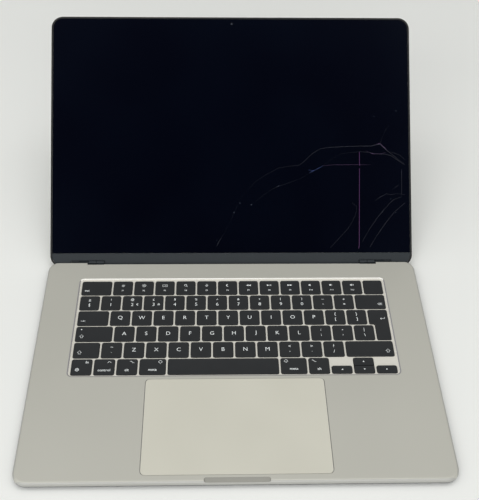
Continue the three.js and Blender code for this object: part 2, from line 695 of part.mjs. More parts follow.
function chargePort() {
  const centre = PORT_CENTRES.charge;
  const mouth = -HALF_WIDTH + PORT_SET_BACK;
  const floor = mouth + CHARGE_PORT.pocket;
  const pocket = slotAlongX(
    CHARGE_PORT.width - 2 * CHARGE_PORT.margin, CHARGE_PORT.height - 2 * CHARGE_PORT.margin, centre,
    mouth - CUT, floor);
  const middle = (CHARGE_PINS.count - 1) / 2;
  const pins = Array.from({ length: CHARGE_PINS.count }, (_, number) => roundAlongX(
    CHARGE_PINS.diameter / 2, centre + (number - middle) * CHARGE_PINS.pitch, PORT_Z,
    floor - CHARGE_PINS.rise, floor + CUT, ROUND_STEPS / 2));
  const body = slotAlongX(CHARGE_PORT.width, CHARGE_PORT.height, centre, mouth, mouth + CHARGE_PORT.depth);
  return piece('charge_port', 'steel', cut(toSolid(body), [pocket]).add(join(pins)));
}

function audioJack() {
  const mouth = HALF_WIDTH - PORT_SET_BACK;
  const centre = PORT_CENTRES.jack;
  const length = JACK.depth - WALL;
  const body = block(centredBox(mouth - WALL - length / 2, centre, length, JACK.body),
    PORT_Z - JACK.body_height / 2, PORT_Z + JACK.body_height / 2 - SEAT_GAP);
  const collar = roundAlongX(JACK.collar_radius, centre, PORT_Z, mouth - WALL - SEAT_GAP, mouth);
  const bore = roundAlongX(JACK.bore_radius, centre, PORT_Z, mouth - JACK.bore_depth, mouth + CUT);
  return piece('audio_jack', 'black_plastic', cut(join([body, collar]), [bore]));
}

// Inner pieces of the base

function batteries() {
  const top = DECK_UNDER - SEAT_GAP;
  const bottom = COVER_TOP + SEAT_GAP;
  const sideStart = PAD_HOLE.right + TRACKPAD_FRAME.margin + BATTERY_GAP;
  const sideEnd = HALF_WIDTH - BATTERY_SIDE_INSET;
  const centre = between(PAD_HOLE.left - BATTERY_GAP, PAD_HOLE.right + BATTERY_GAP, BATTERY_SPAN);
  const underPad = top - TRACKPAD_FRAME.thickness - SEAT_GAP;
  const outer = (side) => block(between(side * sideStart, side * sideEnd, BATTERY_SPAN), bottom, top);
  return [
    piece('battery_left', 'battery_film', outer(-1)),
    piece('battery_centre', 'battery_film', block(centre, bottom, underPad)),
    piece('battery_right', 'battery_film', outer(1)),
  ];
}

function speakers() {
  const outer = HALF_WIDTH - SPEAKER.side_inset;
  const inner = WELL.right + PAN_WALL + SPEAKER.pan_gap;
  const span = { front: BATTERY_SPAN.rear + SPEAKER.battery_gap, rear: BOARD_SPAN.front - SPEAKER.board_gap };
  const solid = (side) => block(
    between(side * inner, side * outer, span), COVER_TOP + SEAT_GAP, DECK_UNDER - SEAT_GAP);
  return [
    piece('speaker_left', 'black_plastic', solid(-1)),
    piece('speaker_right', 'black_plastic', solid(1)),
  ];
}

function logicBoard() {
  const edge = HALF_WIDTH - BOARD.side_inset;
  const board = block(between(-edge, edge, BOARD_SPAN), BOARD_BOTTOM, BOARD_TOP);
  const chips = CHIPS.map(([width, depth, x]) => block(
    centredBox(x, DEPTH - CHIPS_FROM_REAR, width, depth), BOARD_BOTTOM - CHIP_THICKNESS, BOARD_TOP - BOARD.thickness / 2));
  return piece('logic_board', 'circuit_board', join([board, ...chips]));
}

function heatSpreader() {
  const top = BOARD_BOTTOM - CHIP_THICKNESS - SEAT_GAP;
  const box = centredBox(SPREADER.x, DEPTH - CHIPS_FROM_REAR, SPREADER.width, SPREADER.depth);
  return piece('heat_spreader', 'aluminium', block(box, top - SPREADER.thickness, top));
}

function displayFlex() {
  const bottom = BOARD_TOP + SEAT_GAP;
  const middle = POCKET_Y - REAR_WALL - FLEX.wall_gap - FLEX.depth / 2;
  const box = centredBox(FLEX.x, middle, FLEX.width, FLEX.depth);
  return piece('display_flex', 'flex_film', block(box, bottom, bottom + FLEX.thickness));
}

function antennaBar() {
  const front = RECESS_Y + SEAT_GAP;
  const top = AXIS_Z - ANTENNA_BAR.rise;
  const section = [
    [front, top - ANTENNA_BAR.height],
    [front + ANTENNA_BAR.depth, top - ANTENNA_BAR.height / 2],
    [front + ANTENNA_BAR.depth, top],
    [front, top],
  ].map(([y, z]) => new THREE.Vector2(y, z));
  const end = RECESS_HALF_WIDTH - POCKET_WIDTH - ANTENNA_BAR.pocket_gap;
  return piece('antenna_bar', 'black_plastic', alongX(section, -end, end));
}

function hingeBracket(name, side) {
  const inner = INNER_KNUCKLE;
  const outer = INNER_KNUCKLE + KNUCKLE_LENGTH;
  const plateRear = POCKET_Y - REAR_WALL - SEAT_GAP;
  const plate = block(
    { left: outer - HINGE_PLATE_WIDTH, right: outer, front: plateRear - HINGE_PLATE_DEPTH, rear: plateRear },
    BRACKET_ARM_BOTTOM, BRACKET_ARM_TOP);
  const arm = block({ left: inner, right: outer, front: plateRear - 1, rear: AXIS_Y },
    BRACKET_ARM_BOTTOM, BRACKET_ARM_TOP);
  const knuckle = roundAlongX(KNUCKLE_RADIUS, AXIS_Y, AXIS_Z, inner, outer);
  const bore = roundAlongX(HINGE_PIN_RADIUS + PIN_CLEARANCE, AXIS_Y, AXIS_Z, inner - CUT, outer + CUT);
  const solid = cut(join([plate, arm, knuckle]), [bore]);
  return piece(name, 'steel', side < 0 ? solid.mirror([1, 0, 0]) : solid);
}

// Lid, drawn closed about the hinge axis

function lidEdge(height) {
  return roundedEdge(LID_EDGE_RADIUS, LID_BACK - height);
}

function lidShell() {
  const side = LID_BACK - LID_EDGE_RADIUS;
  const rise = LID_EDGE_RADIUS;
  const heights = [RIM_FACE, side, side + rise * 0.5, side + rise * 0.8, side + rise * 0.95, LID_BACK];
  const shell = roundedSlab(LID_OUTLINE, CORNER_RADIUS, heights.map((z) => ({ z, edge: lidEdge(z) })));
  const glazing = prism(
    roundedOutline(inset(LID_OUTLINE, LID_RIM), CORNER_RADIUS - LID_RIM), RIM_FACE - CUT, LEDGE);
  const hollow = roundedOutline(inset(LID_OUTLINE, CAVITY_INSET), CORNER_RADIUS - CAVITY_INSET);
  const cavity = prism(hollow, RIM_FACE - CUT, LID_FLOOR);
  return piece('lid_shell', 'aluminium', cut(toSolid(shell), [glazing, cavity]));
}

function displayGasket() {
  const outer = roundedOutline(inset(LID_OUTLINE, GASKET_INSET), CORNER_RADIUS - GASKET_INSET);
  const innerInset = GASKET_INSET + GASKET_WIDTH;
  const inner = roundedOutline(inset(LID_OUTLINE, innerInset), CORNER_RADIUS - innerInset);
  return piece('display_gasket', 'rubber', cut(
    toSolid(prism(outer, GASKET_FACE, GLASS_BACK)),
    [prism(inner, GASKET_FACE - CUT, GLASS_BACK + CUT)]));
}

// The glass and the hinge cover share one rounded outline, parted by a gap across it.
function glazingPart(nearAxis, farFromAxis) {
  const outline = roundedOutline(inset(LID_OUTLINE, GLASS_INSET), CORNER_RADIUS - GLASS_INSET);
  const band = { left: -HALF_WIDTH, right: HALF_WIDTH, front: -farFromAxis, rear: -nearAxis };
  return toSolid(prism(outline, GLASS_FACE, GLASS_BACK))
    .intersect(toSolid(block(band, GLASS_FACE - CUT, GLASS_BACK + CUT)));
}

// A groove of even width along a bent line, cut into the viewer's side of the glass
function crackGrooves(points) {
  return points.slice(1).map((end, number) => {
    const from = new THREE.Vector2(points[number][0], -points[number][1]);
    const to = new THREE.Vector2(end[0], -end[1]);
    const along = to.clone().sub(from).normalize();
    const across = new THREE.Vector2(-along.y, along.x).multiplyScalar(CRACK_WIDTH / 2);
    const start = from.addScaledVector(along, -CRACK_OVERRUN);
    const finish = to.addScaledVector(along, CRACK_OVERRUN);
    const outline = [
      start.clone().sub(across),
      finish.clone().sub(across),
      finish.clone().add(across),
      start.clone().add(across),
    ];
    return prism(outline, GLASS_FACE - CUT, GLASS_FACE + CRACK_DEPTH);
  });
}

function displayGlass() {
  const pane = glazingPart(HINGE_COVER_TOP + GLAZING_GAP, DEPTH);
  return piece('display_glass', 'display_glass', cut(pane, CRACKS.flatMap(crackGrooves)));
}

function hingeCover() {
  const strip = glazingPart(-AXIS_FROM_REAR, HINGE_COVER_TOP);
  const span = { front: -HINGE_COVER_POCKET_REACH, rear: HINGE_COVER_POCKET_REACH };
  const near = INNER_KNUCKLE - KNUCKLE_GAP;
  const far = OUTER_KNUCKLE + KNUCKLE_LENGTH + KNUCKLE_GAP;
  const pockets = [-1, 1].map((side) => block(
    between(side * near, side * far, span), GLASS_FACE - CUT, GLASS_BACK + CUT));
  return piece('hinge_cover', 'black_plastic', cut(strip, pockets));
}

function displayPanel() {
  const area = inset(LID_OUTLINE, CAVITY_INSET + PANEL_MARGIN);
  const panel = { ...area, rear: -PANEL_BOTTOM };
  const notch = {
    left: -CAMERA_NOTCH.width / 2,
    right: CAMERA_NOTCH.width / 2,
    front: area.front - CUT,
    rear: area.front + CAMERA_NOTCH.height,
  };
  const bottom = GLASS_BACK + SEAT_GAP;
  const top = bottom + PANEL_THICKNESS;
  const outline = roundedOutline(panel, CORNER_RADIUS - CAVITY_INSET - PANEL_MARGIN);
  return piece('display_panel', 'black_plastic', cut(
    toSolid(prism(outline, bottom, top)), [block(notch, bottom - CUT, top + CUT)]));
}

function cameraModule() {
  const centre = -AXIS_Y + CAVITY_INSET + SEAT_GAP + CAMERA_BODY.height / 2;
  const bottom = GLASS_BACK + SEAT_GAP + LENS_RISE;
  const body = block(
    centredBox(0, centre, CAMERA_BODY.width, CAMERA_BODY.height), bottom, bottom + CAMERA_BODY.thickness);
  const lens = prism(circle(LENS_RADIUS, 0, centre), bottom - LENS_RISE, bottom + CAMERA_BODY.thickness / 2);
  return piece('camera_module', 'black_plastic', join([body, lens]));
}

function displayBoard() {
  const end = INNER_KNUCKLE - DISPLAY_BOARD.hinge_gap;
  const box = between(-end, end, { front: -DISPLAY_BOARD.height, rear: 0 });
  const bottom = GLASS_BACK + SEAT_GAP;
  return piece('display_board', 'circuit_board', block(box, bottom, bottom + DISPLAY_BOARD.thickness));
}

function hingeArm(name, side) {
  const inner = OUTER_KNUCKLE;
  const outer = OUTER_KNUCKLE + KNUCKLE_LENGTH;
  const low = GLASS_BACK + SEAT_GAP;
  const span = { front: -HINGE_COVER_TOP, rear: KNUCKLE_RADIUS };
  const plate = block(
    between(INNER_KNUCKLE, INNER_KNUCKLE + HINGE_PLATE_WIDTH, span), low, low + HINGE_PLATE_THICKNESS);
  const link = block({ left: inner, right: outer, front: -KNUCKLE_RADIUS * 0.8, rear: KNUCKLE_RADIUS * 0.8 },
    0, low + HINGE_PLATE_THICKNESS / 2);
  const knuckle = roundAlongX(KNUCKLE_RADIUS, 0, 0, inner, outer);
  const pin = roundAlongX(HINGE_PIN_RADIUS, 0, 0, INNER_KNUCKLE - KNUCKLE_GAP / 2, inner + CUT);
  const solid = join([plate, link, knuckle, pin]);
  return piece(name, 'steel', side < 0 ? solid.mirror([1, 0, 0]) : solid);
}

// Assembly

const base = new THREE.Group();
base.add(
  topCase(),
  bottomCover(),
  ...feet(),
  ...coverScrews(),
  keyboardPlate(),
  ...movingKeys(),
  ...trackpad(),
  chargePort(),
  usbPort('usb_port_rear', PORT_CENTRES.usb_rear),
  usbPort('usb_port_front', PORT_CENTRES.usb_front),
  audioJack(),
  ...batteries(),
  ...speakers(),
  logicBoard(),
  heatSpreader(),
  displayFlex(),
  antennaBar(),
  hingeBracket('hinge_bracket_left', -1),
  hingeBracket('hinge_bracket_right', 1),
);

const lid = new THREE.Group();
lid.add(
  lidShell(),
  displayGasket(),
  displayGlass(),
  hingeCover(),
  displayPanel(),
  cameraModule(),
  displayBoard(),
  hingeArm('hinge_arm_left', -1),
  hingeArm('hinge_arm_right', 1),
);
lid.position.set(0, AXIS_Y, AXIS_Z);
lid.rotation.x = -THREE.MathUtils.degToRad(OPEN_ANGLE);

// The origin is on the table, under the middle of the open laptop.
const laptop = new THREE.Group();
laptop.add(base, lid);
const reach = new THREE.Box3().setFromObject(laptop, true);
laptop.position.y = -(reach.min.y + reach.max.y) / 2;

const part = new THREE.Group();
part.add(laptop);
part.updateMatrixWorld(true);

export default part;
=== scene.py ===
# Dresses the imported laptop: an open aluminium notebook with a cracked, dark display.
# Shapes are drawn in millimetres. The base is drawn from the middle of its front edge on the table, and the
# lid is drawn lying closed, from the middle of its hinge axis, and is then opened with its body.
import json
import math
import random
from collections import namedtuple

import bmesh
import bpy
from mathutils import Matrix, Vector

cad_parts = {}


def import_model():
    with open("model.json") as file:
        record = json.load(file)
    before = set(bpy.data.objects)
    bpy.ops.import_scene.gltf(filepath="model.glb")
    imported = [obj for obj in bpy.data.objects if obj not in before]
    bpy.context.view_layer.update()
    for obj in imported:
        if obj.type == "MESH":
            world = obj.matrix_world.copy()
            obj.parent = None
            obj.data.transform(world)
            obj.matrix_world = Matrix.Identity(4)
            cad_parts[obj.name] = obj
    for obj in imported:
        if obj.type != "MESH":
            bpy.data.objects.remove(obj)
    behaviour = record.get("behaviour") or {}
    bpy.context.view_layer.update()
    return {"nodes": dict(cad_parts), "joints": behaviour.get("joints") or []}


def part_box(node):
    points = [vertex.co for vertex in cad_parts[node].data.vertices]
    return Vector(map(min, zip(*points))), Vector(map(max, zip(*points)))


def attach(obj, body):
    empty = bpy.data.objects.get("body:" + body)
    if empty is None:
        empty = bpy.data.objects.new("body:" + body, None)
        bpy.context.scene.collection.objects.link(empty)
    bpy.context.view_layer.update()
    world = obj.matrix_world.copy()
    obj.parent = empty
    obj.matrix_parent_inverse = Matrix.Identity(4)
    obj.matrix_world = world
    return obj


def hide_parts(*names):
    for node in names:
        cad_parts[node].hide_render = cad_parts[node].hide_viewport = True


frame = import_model()

MM = 0.001

# Camera, fitted to the corners, rows and hinge line of the laptop in a frame 479 by 500 pixels
FRAME_HEIGHT_PX = 500
FOCAL_PX = 895.0
SENSOR_MM = 36.0
CAMERA_PLACE = (-0.01717, -0.55852, 0.60523)
CAMERA_YAW = 2.308
CAMERA_PITCH = 44.722
CAMERA_ROLL = 1.4455

# Roundness of arcs, in steps for each quarter turn, and of whole circles. An edge with a turn of more degrees
# than SHARP_ABOVE stays sharp.
CORNER_STEPS = 14
EDGE_STEPS = 7
SMALL_CORNER_STEPS = 5
LIP_STEPS = 3
ROUND_STEPS = 48
SHARP_ABOVE = 32

# Base, in millimetres. Low on the sides, up to the shaded edge's top, painted shade continues the curve under
# them.
CORNER_RADIUS = 11.0
DECK_EDGE_RADIUS = 2.3
BOTTOM_EDGE_RADIUS = 3.2
BASE_BOTTOM = 0.7
PAINTED_SHADE_TOP = 4.4
WALL = 2.2
DECK_THICKNESS = 1.0
WELL_MARGIN_SIDE = 2.1
WELL_MARGIN_FRONT = 1.45
WELL_MARGIN_REAR = 3.0
WELL_RADIUS = 3.6
WELL_DEPTH = 1.1
WELL_CHAMFER_WIDTH = 0.95
WELL_CHAMFER_DEPTH = 0.45
WELL_REAR_LIP = 0.3
WEB_THICKNESS = 0.8
PAN_WALL = 1.0
KEY_CLEARANCE = 0.25
KEY_HOLE_LIP = 0.12
PAD_GAP = 0.25
PAD_LIP = 0.12
PAD_BEVEL = 0.12
PAD_SIDE_GAP = 0.16
PAD_RADIUS = 4.0
NOTCH_HALF_WIDTH = 25.4
NOTCH_REACH = 4.3
NOTCH_DEPTH = 1.1
NOTCH_END_REACH = 1.6
NOTCH_SHALLOW_REACH = 0.3
RECESS_HALF_WIDTH = 134.8
RECESS_FROM_AXIS = 3.7
POCKET_FROM_AXIS = 4.0
POCKET_WIDTH = 15.4
REAR_WALL = 1.5
SWING_GAP = 0.3
PORT_CLEARANCE = 0.15
CUT = 1.0

# Lid, in millimetres. Its edge is a touch rounder than the solid's 3.0, so that it stays inside the solid's
# flat steps.
LID_EDGE_RADIUS = 3.12
LID_RIM = 0.2
RIM_ROUNDING = 0.15
LEDGE_WIDTH = 1.8
GLUE_GAP = 0.3
LID_SKIN = 0.95
GLASS_BEVEL = 0.12
GASKET_GROWN = 0.55
GASKET_WIDTH = 1.55
GASKET_LIP = 0.25
LENS_X = 0.4
LENS_Y = -226.6
LENS_RADIUS = 0.6
LENS_WINDOW_RADIUS = 1.2
LENS_DEPTH = 0.1

# Hinge, in millimetres
BARREL_RADIUS = 1.63
BARREL_LENGTH = 6.6
BARREL_GAP = 0.5
PIN_BORE_RADIUS = 0.85
KNUCKLE_CLEARANCE = 0.05
ARM_CLEARANCE = 0.2
SHOULDER_OVERLAP = 0.2

# Ports, in millimetres
USB_WALL = 0.35
USB_TONGUE_HALF_WIDTH = 3.3
USB_TONGUE_HALF_HEIGHT = 0.35
USB_TONGUE_SET_IN = 0.8
USB_TONGUE_END = 0.5
CHARGE_WALL = 0.5
CHARGE_DEPTH = 1.4
CONTACT_RADIUS = 0.5
CONTACT_PITCH = 2.8
CONTACT_SET_IN = 0.7
CONTACT_END = 1.6
JACK_RADIUS = 2.2
JACK_BORE_RADIUS = 1.8
JACK_BORE_DEPTH = 11.0
JACK_COLLAR = 2.2
JACK_COLLAR_OVERLAP = 0.3
JACK_HALF_DEPTH = 3.0
JACK_BELOW = 2.1
JACK_ABOVE = 1.8

# Screws and feet of the bottom cover, in millimetres
SCREW_NUMBERS = range(1, 5)
SCREW_SINK_RADIUS = 2.2
SCREW_SINK_DEPTH = 0.6
SCREW_HOLE_RADIUS = 1.1
SCREW_HEAD_HEIGHT = 0.55
SCREW_HEAD_BEVEL = 0.15
SCREW_SHANK_RADIUS = 0.9
SCREW_TIP_BEVEL = 0.3
DRIVE_RADIUS = 0.72
DRIVE_LOBE = 0.16
DRIVE_DEPTH = 0.35
FOOT_EDGE = 0.3
FOOT_GROOVE_DEPTH = 0.06

# Keys, in millimetres
KEY_RADIUS = 1.6
KEY_EDGE = 0.28
KEY_DISH = 0.13
KEY_DISH_REACH = 5.0
LEGEND_PROUD = 0.03
LEGEND_STROKE = 0.3
PLATE_GAP = 0.3
KEY_SUPPORT_HALF = 4.0
KEY_SUPPORT_OVERLAP = 0.1
FINDER_HALF_LENGTH = 1.7
FINDER_FROM_MIDDLE = 5.0
FINDER_WIDTH = 0.5

# Cracks and lit pixels, in millimetres
CRACK_STEP = 1.2
CRACK_WANDER = 0.15
CRACK_RISE = 0.015
CRACK_SINK = 0.1
CRACK_LIP = 0.002
PIXEL_WIDTH = 0.48
PIXEL_STEP = 4.0
PIXEL_RISE = 0.012


Box = namedtuple("Box", "left right front rear")


# Places. Heights and depths of the base are measured from its front edge on the table, and those of the lid
# from its hinge axis.

BASE_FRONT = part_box("top_case")[0].y
BASE_PLACE = Matrix.Translation((0, BASE_FRONT, 0)) @ Matrix.Scale(MM, 4)
LID_JOINT = next(joint for joint in frame["joints"] if joint["name"] == "lid_hinge")
AXIS = Vector(LID_JOINT["pos_m"])
OPEN_ANGLE = math.radians(LID_JOINT["range_deg"][1])
LID_PLACE = Matrix.Translation(AXIS) @ Matrix.Rotation(-OPEN_ANGLE, 4, "X") @ Matrix.Scale(MM, 4)
AXIS_Y = (AXIS.y - BASE_FRONT) / MM
AXIS_Z = AXIS.z / MM


def box_seen_from(place, node):
    """A node's lowest and highest corners, in millimetres, in the drawing of the base or the lid."""
    back = place.inverted()
    points = [back @ vertex.co for vertex in frame["nodes"][node].data.vertices]
    low = Vector(min(point[axis] for point in points) for axis in range(3))
    high = Vector(max(point[axis] for point in points) for axis in range(3))
    return low, high


def base_box(node):
    return box_seen_from(BASE_PLACE, node)


def lid_box(node):
    return box_seen_from(LID_PLACE, node)


def plan_of(corners):
    low, high = corners
    return Box(low.x, high.x, low.y, high.y)


DECK_TOP = base_box("top_case")[1].z
CASE_BOTTOM = base_box("top_case")[0].z
EAR_Y = base_box("top_case")[1].y
HALF_WIDTH = base_box("top_case")[1].x
RECESS_Y = AXIS_Y - RECESS_FROM_AXIS
POCKET_Y = AXIS_Y - POCKET_FROM_AXIS
DECK_UNDER = DECK_TOP - DECK_THICKNESS
WEB_TOP = DECK_TOP - WELL_DEPTH
WEB_UNDER = WEB_TOP - WEB_THICKNESS
KEY_BOTTOM, KEY_TOP = (corner.z for corner in base_box("key_space"))
KEY_GAP = base_box("key_control")[0].x - base_box("key_fn")[1].x
KEY_PITCH = base_box("key_control")[0].x - base_box("key_fn")[0].x
WELL = Box(
    base_box("key_escape")[0].x - WELL_MARGIN_SIDE,
    base_box("key_power")[1].x + WELL_MARGIN_SIDE,
    base_box("key_fn")[0].y - WELL_MARGIN_FRONT,
    base_box("key_escape")[1].y + WELL_MARGIN_REAR,
)


# Outlines and solids. A solid is a pair of lists: its points and its faces.

def inset(box, distance):
    return Box(box.left + distance, box.right - distance, box.front + distance, box.rear - distance)


def corners_of(box):
    return [(box.left, box.front), (box.right, box.front), (box.right, box.rear), (box.left, box.rear)]


def rounded(corners, radius, steps):
    """Rounds the corners of an outline whose sides meet at right angles, inward or outward."""
    points = []
    for number, corner in enumerate(corners):
        here = Vector(corner)
        coming = (here - Vector(corners[number - 1])).normalized()
        going = (Vector(corners[(number + 1) % len(corners)]) - here).normalized()
        centre = here + (going - coming) * radius
        for step in range(steps + 1):
            turn = math.radians(90) * step / steps
            points.append(centre + (coming * math.sin(turn) - going * math.cos(turn)) * radius)
    return points


def rounded_box(box, radius, steps=CORNER_STEPS):
    return rounded(corners_of(box), max(radius, 0.02), steps)


def circle(radius, x=0.0, y=0.0, steps=ROUND_STEPS):
    turns = [2 * math.pi * step / steps for step in range(steps)]
    return [Vector((x + radius * math.cos(turn), y + radius * math.sin(turn))) for turn in turns]


def layered(rings):
    """A solid through outlines of equally many points, given with their heights from the bottom up."""
    count = len(rings[0][0])
    points = [(point[0], point[1], z) for outline, z in rings for point in outline]
    faces = [list(range(count - 1, -1, -1))]
    for ring in range(len(rings) - 1):
        low, high = ring * count, (ring + 1) * count
        for here in range(count):
            after = (here + 1) % count
            faces.append([low + here, low + after, high + after, high + here])
    last = (len(rings) - 1) * count
    faces.append([last + here for here in range(count)])
    return points, faces


def prism(outline, bottom, top):
    return layered([(outline, bottom), (outline, top)])


def block(box, bottom, top):
    return prism([Vector(corner) for corner in corners_of(box)], bottom, top)


def edge_inset(radius, from_face):
    """How far a rounded edge is set in at a distance from the flat face that it starts from."""
    depth = radius - min(max(from_face, 0.0), radius)
    return radius - math.sqrt(radius ** 2 - depth ** 2)


def edge_heights(radius, steps=EDGE_STEPS):
    """Distances from the flat face, from the side's start to the face, at even turns of the rounding."""
    return [radius * (1 - math.sin(math.radians(90) * step / steps)) for step in range(steps + 1)]


def flared_prism(box, radius, bottom, top, lip, steps=CORNER_STEPS):
    """A cutter whose mouth at the top widens along a small rounding, which leaves the cut edge rounded."""
    rings = [(rounded_box(box, radius, steps), bottom)]
    for step in range(LIP_STEPS + 1):
        turn = math.radians(90) * step / LIP_STEPS
        grown = lip * (1 - math.cos(turn))
        outline = rounded_box(inset(box, -grown), radius + grown, steps)
        rings.append((outline, top - lip * (1 - math.sin(turn))))
    rings.append((rings[-1][0], top + CUT))
    return layered(rings)


def along_x(section, start, end):
    """A rod with its section given in Y and Z."""
    points, faces = prism(section, start, end)
    return [(z, x, y) for x, y, z in points], faces


def moved(solid, x, y):
    points, faces = solid
    return [(px + x, py + y, pz) for px, py, pz in points], faces


def together(solids):
    points, faces = [], []
    for more_points, more_faces in solids:
        start = len(points)
        points.extend(more_points)
        faces.extend([index + start for index in face] for face in more_faces)
    return points, faces


def lathe(profile, steps=ROUND_STEPS):
    """Turns a profile of distances and heights, which starts and ends on the axis, about Z."""
    inner = profile[1:-1]
    points = [(0.0, 0.0, profile[0][1])]
    for distance, height in inner:
        points.extend((point.x, point.y, height) for point in circle(distance, steps=steps))
    points.append((0.0, 0.0, profile[-1][1]))
    faces = []
    for here in range(steps):
        after = (here + 1) % steps
        faces.append([0, 1 + after, 1 + here])
        for ring in range(len(inner) - 1):
            low, high = 1 + ring * steps, 1 + (ring + 1) * steps
            faces.append([low + here, low + after, high + after, high + here])
        start = 1 + (len(inner) - 1) * steps
        faces.append([start + here, start + after, len(points) - 1])
    return points, faces


# Pieces

def as_object(name, solid, place):
    points, faces = solid
    mesh = bpy.data.meshes.new(name)
    mesh.from_pydata([place @ Vector(point) for point in points], [], faces)
    work = bmesh.new()
    work.from_mesh(mesh)
    bmesh.ops.recalc_face_normals(work, faces=work.faces)
    work.to_mesh(mesh)
    work.free()
    piece = bpy.data.objects.new(name, mesh)
    bpy.context.scene.collection.objects.link(piece)
    return piece


def apply_modifiers(piece):
    bpy.context.view_layer.update()
    seen = piece.evaluated_get(bpy.context.evaluated_depsgraph_get())
    made = bpy.data.meshes.new_from_object(seen)
    piece.modifiers.clear()
    piece.data = made
    piece.data.name = piece.name


def combine(piece, solids, place, operation="DIFFERENCE"):
    """Cuts the solids out of a piece, or joins them to it, one after another."""
    cutters = [as_object(f"{piece.name}_cutter_{number}", solid, place)
               for number, solid in enumerate(solids)]
    for cutter in cutters:
        change = piece.modifiers.new("cut", "BOOLEAN")
        change.operation = operation
        change.solver = "MANIFOLD"
        change.object = cutter
    apply_modifiers(piece)
    for cutter in cutters:
        bpy.data.objects.remove(cutter)


def smooth(piece):
    """Rounds the shading of small facets, while large flat faces stay flat."""
    mesh = piece.data
    mesh.polygons.foreach_set("use_smooth", [True] * len(mesh.polygons))
    mesh.set_sharp_from_angle(angle=math.radians(SHARP_ABOVE))
    flats = piece.modifiers.new("flat_faces", "WEIGHTED_NORMAL")
    flats.mode = "FACE_AREA"
    flats.keep_sharp = True
    apply_modifiers(piece)


def finish_piece(piece, material, body, replaces=()):
    """Gives a piece its finish, the body that it rides and the solids that it stands for."""
    piece.data.materials.clear()
    piece.data.materials.append(material)
    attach(piece, body)
    if replaces:
        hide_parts(*replaces)


# Materials. A material's nodes are added from its coordinates on, and its main shader comes last.

def linear(hex_colour):
    """An sRGB hex colour as the linear values that a shader takes."""
    values = [int(hex_colour[start:start + 2], 16) / 255 for start in (1, 3, 5)]
    return [v / 12.92 if v <= 0.04045 else ((v + 0.055) / 1.055) ** 2.4 for v in values] + [1.0]


def add_node(tree, kind, settings=(), stops=(), **links):
    """Adds a node, sets its properties, sockets and colour stops, and links its inputs to other outputs."""
    node = tree.nodes.new(kind)
    for name, value in dict(settings).items():
        if hasattr(node, name):
            setattr(node, name, value)
        else:
            node.inputs[name].default_value = value
    for number, (position, colour) in enumerate(stops):
        bands = node.color_ramp.elements
        band = bands[number] if number < 2 else bands.new(position)
        band.position, band.color = position, linear(colour)
    for name, output in links.items():
        tree.links.new(output, node.inputs[name.replace("_", " ")])
    return node


def blank(name):
    """A material with nothing in its node tree but the piece's own coordinates, in which patterns lie."""
    material = bpy.data.materials.new(name)
    material.use_nodes = True
    tree = material.node_tree
    tree.nodes.clear()
    place = add_node(tree, "ShaderNodeTexCoord")
    return material, tree, place.outputs["Object"]


def finished(material, colour, settings, **links):
    """Closes a material with its main shader, which has even values and what is linked to it."""
    tree = material.node_tree
    shader = add_node(
        tree, "ShaderNodeBsdfPrincipled", {"Base Color": linear(colour), **settings}, **links)
    add_node(tree, "ShaderNodeOutputMaterial", Surface=shader.outputs["BSDF"])
    material.diffuse_color = linear(colour)
    return material


def grains(size_mm, detail=2.0):
    """The settings of a noise whose grains have a real size."""
    return {"Scale": 1 / (size_mm * MM), "Detail": detail, "Roughness": 0.6}


def near_tones(dark, light):
    """Colour stops that spread the middle of a pattern's range over two near tones."""
    return [(0.35, dark), (0.65, light)]


def anodised_aluminium(name, dark, light, roughness, metallic=0.45):
    """Bead-blasted sheet under a clear oxide layer, which scatters some light before the metal mirrors it.

    It has a soft, even sheen without streaks, and a grain that is barely seen.
    """
    material, tree, place = blank(name)
    drift = add_node(tree, "ShaderNodeTexNoise", grains(120.0, detail=1.0), Vector=place)
    tones = add_node(tree, "ShaderNodeValToRGB", stops=near_tones(dark, light), Fac=drift.outputs["Fac"])
    # Blasting leaves pits of about 0.05 mm, drawn at 0.3 mm so that they show.
    pits = add_node(tree, "ShaderNodeTexNoise", grains(0.3), Vector=place)
    sheen = add_node(
        tree, "ShaderNodeMapRange", {"To Min": roughness - 0.05, "To Max": roughness + 0.05},
        Value=pits.outputs["Fac"])
    relief = add_node(
        tree, "ShaderNodeBump", {"Distance": 0.03 * MM, "Strength": 0.25}, Height=pits.outputs["Fac"])
    return finished(
        material, light, {"Roughness": roughness, "Metallic": metallic}, Base_Color=tones.outputs["Color"],
        Roughness=sheen.outputs["Result"], Normal=relief.outputs["Normal"])


def matt_skin(name, dark, light, roughness, grain_mm=0.25, bump=0.25, gloss=0.5):
    """A plastic, rubber, paint or film whose fine even tooth keeps it matt and breaks up highlights."""
    material, tree, place = blank(name)
    drift = add_node(tree, "ShaderNodeTexNoise", grains(15.0, detail=1.0), Vector=place)
    tones = add_node(tree, "ShaderNodeValToRGB", stops=near_tones(dark, light), Fac=drift.outputs["Fac"])
    # A real tooth is about 0.03 mm wide, drawn at a quarter of a millimetre or more so that it shows.
    tooth = add_node(tree, "ShaderNodeTexNoise", grains(grain_mm), Vector=place)
    sheen = add_node(
        tree, "ShaderNodeMapRange", {"To Min": roughness - 0.06, "To Max": roughness + 0.06},
        Value=tooth.outputs["Fac"])
    relief = add_node(
        tree, "ShaderNodeBump", {"Distance": 0.03 * MM, "Strength": bump}, Height=tooth.outputs["Fac"])
    return finished(
        material, light, {"Roughness": roughness, "Specular IOR Level": gloss},
        Base_Color=tones.outputs["Color"], Roughness=sheen.outputs["Result"],
        Normal=relief.outputs["Normal"])


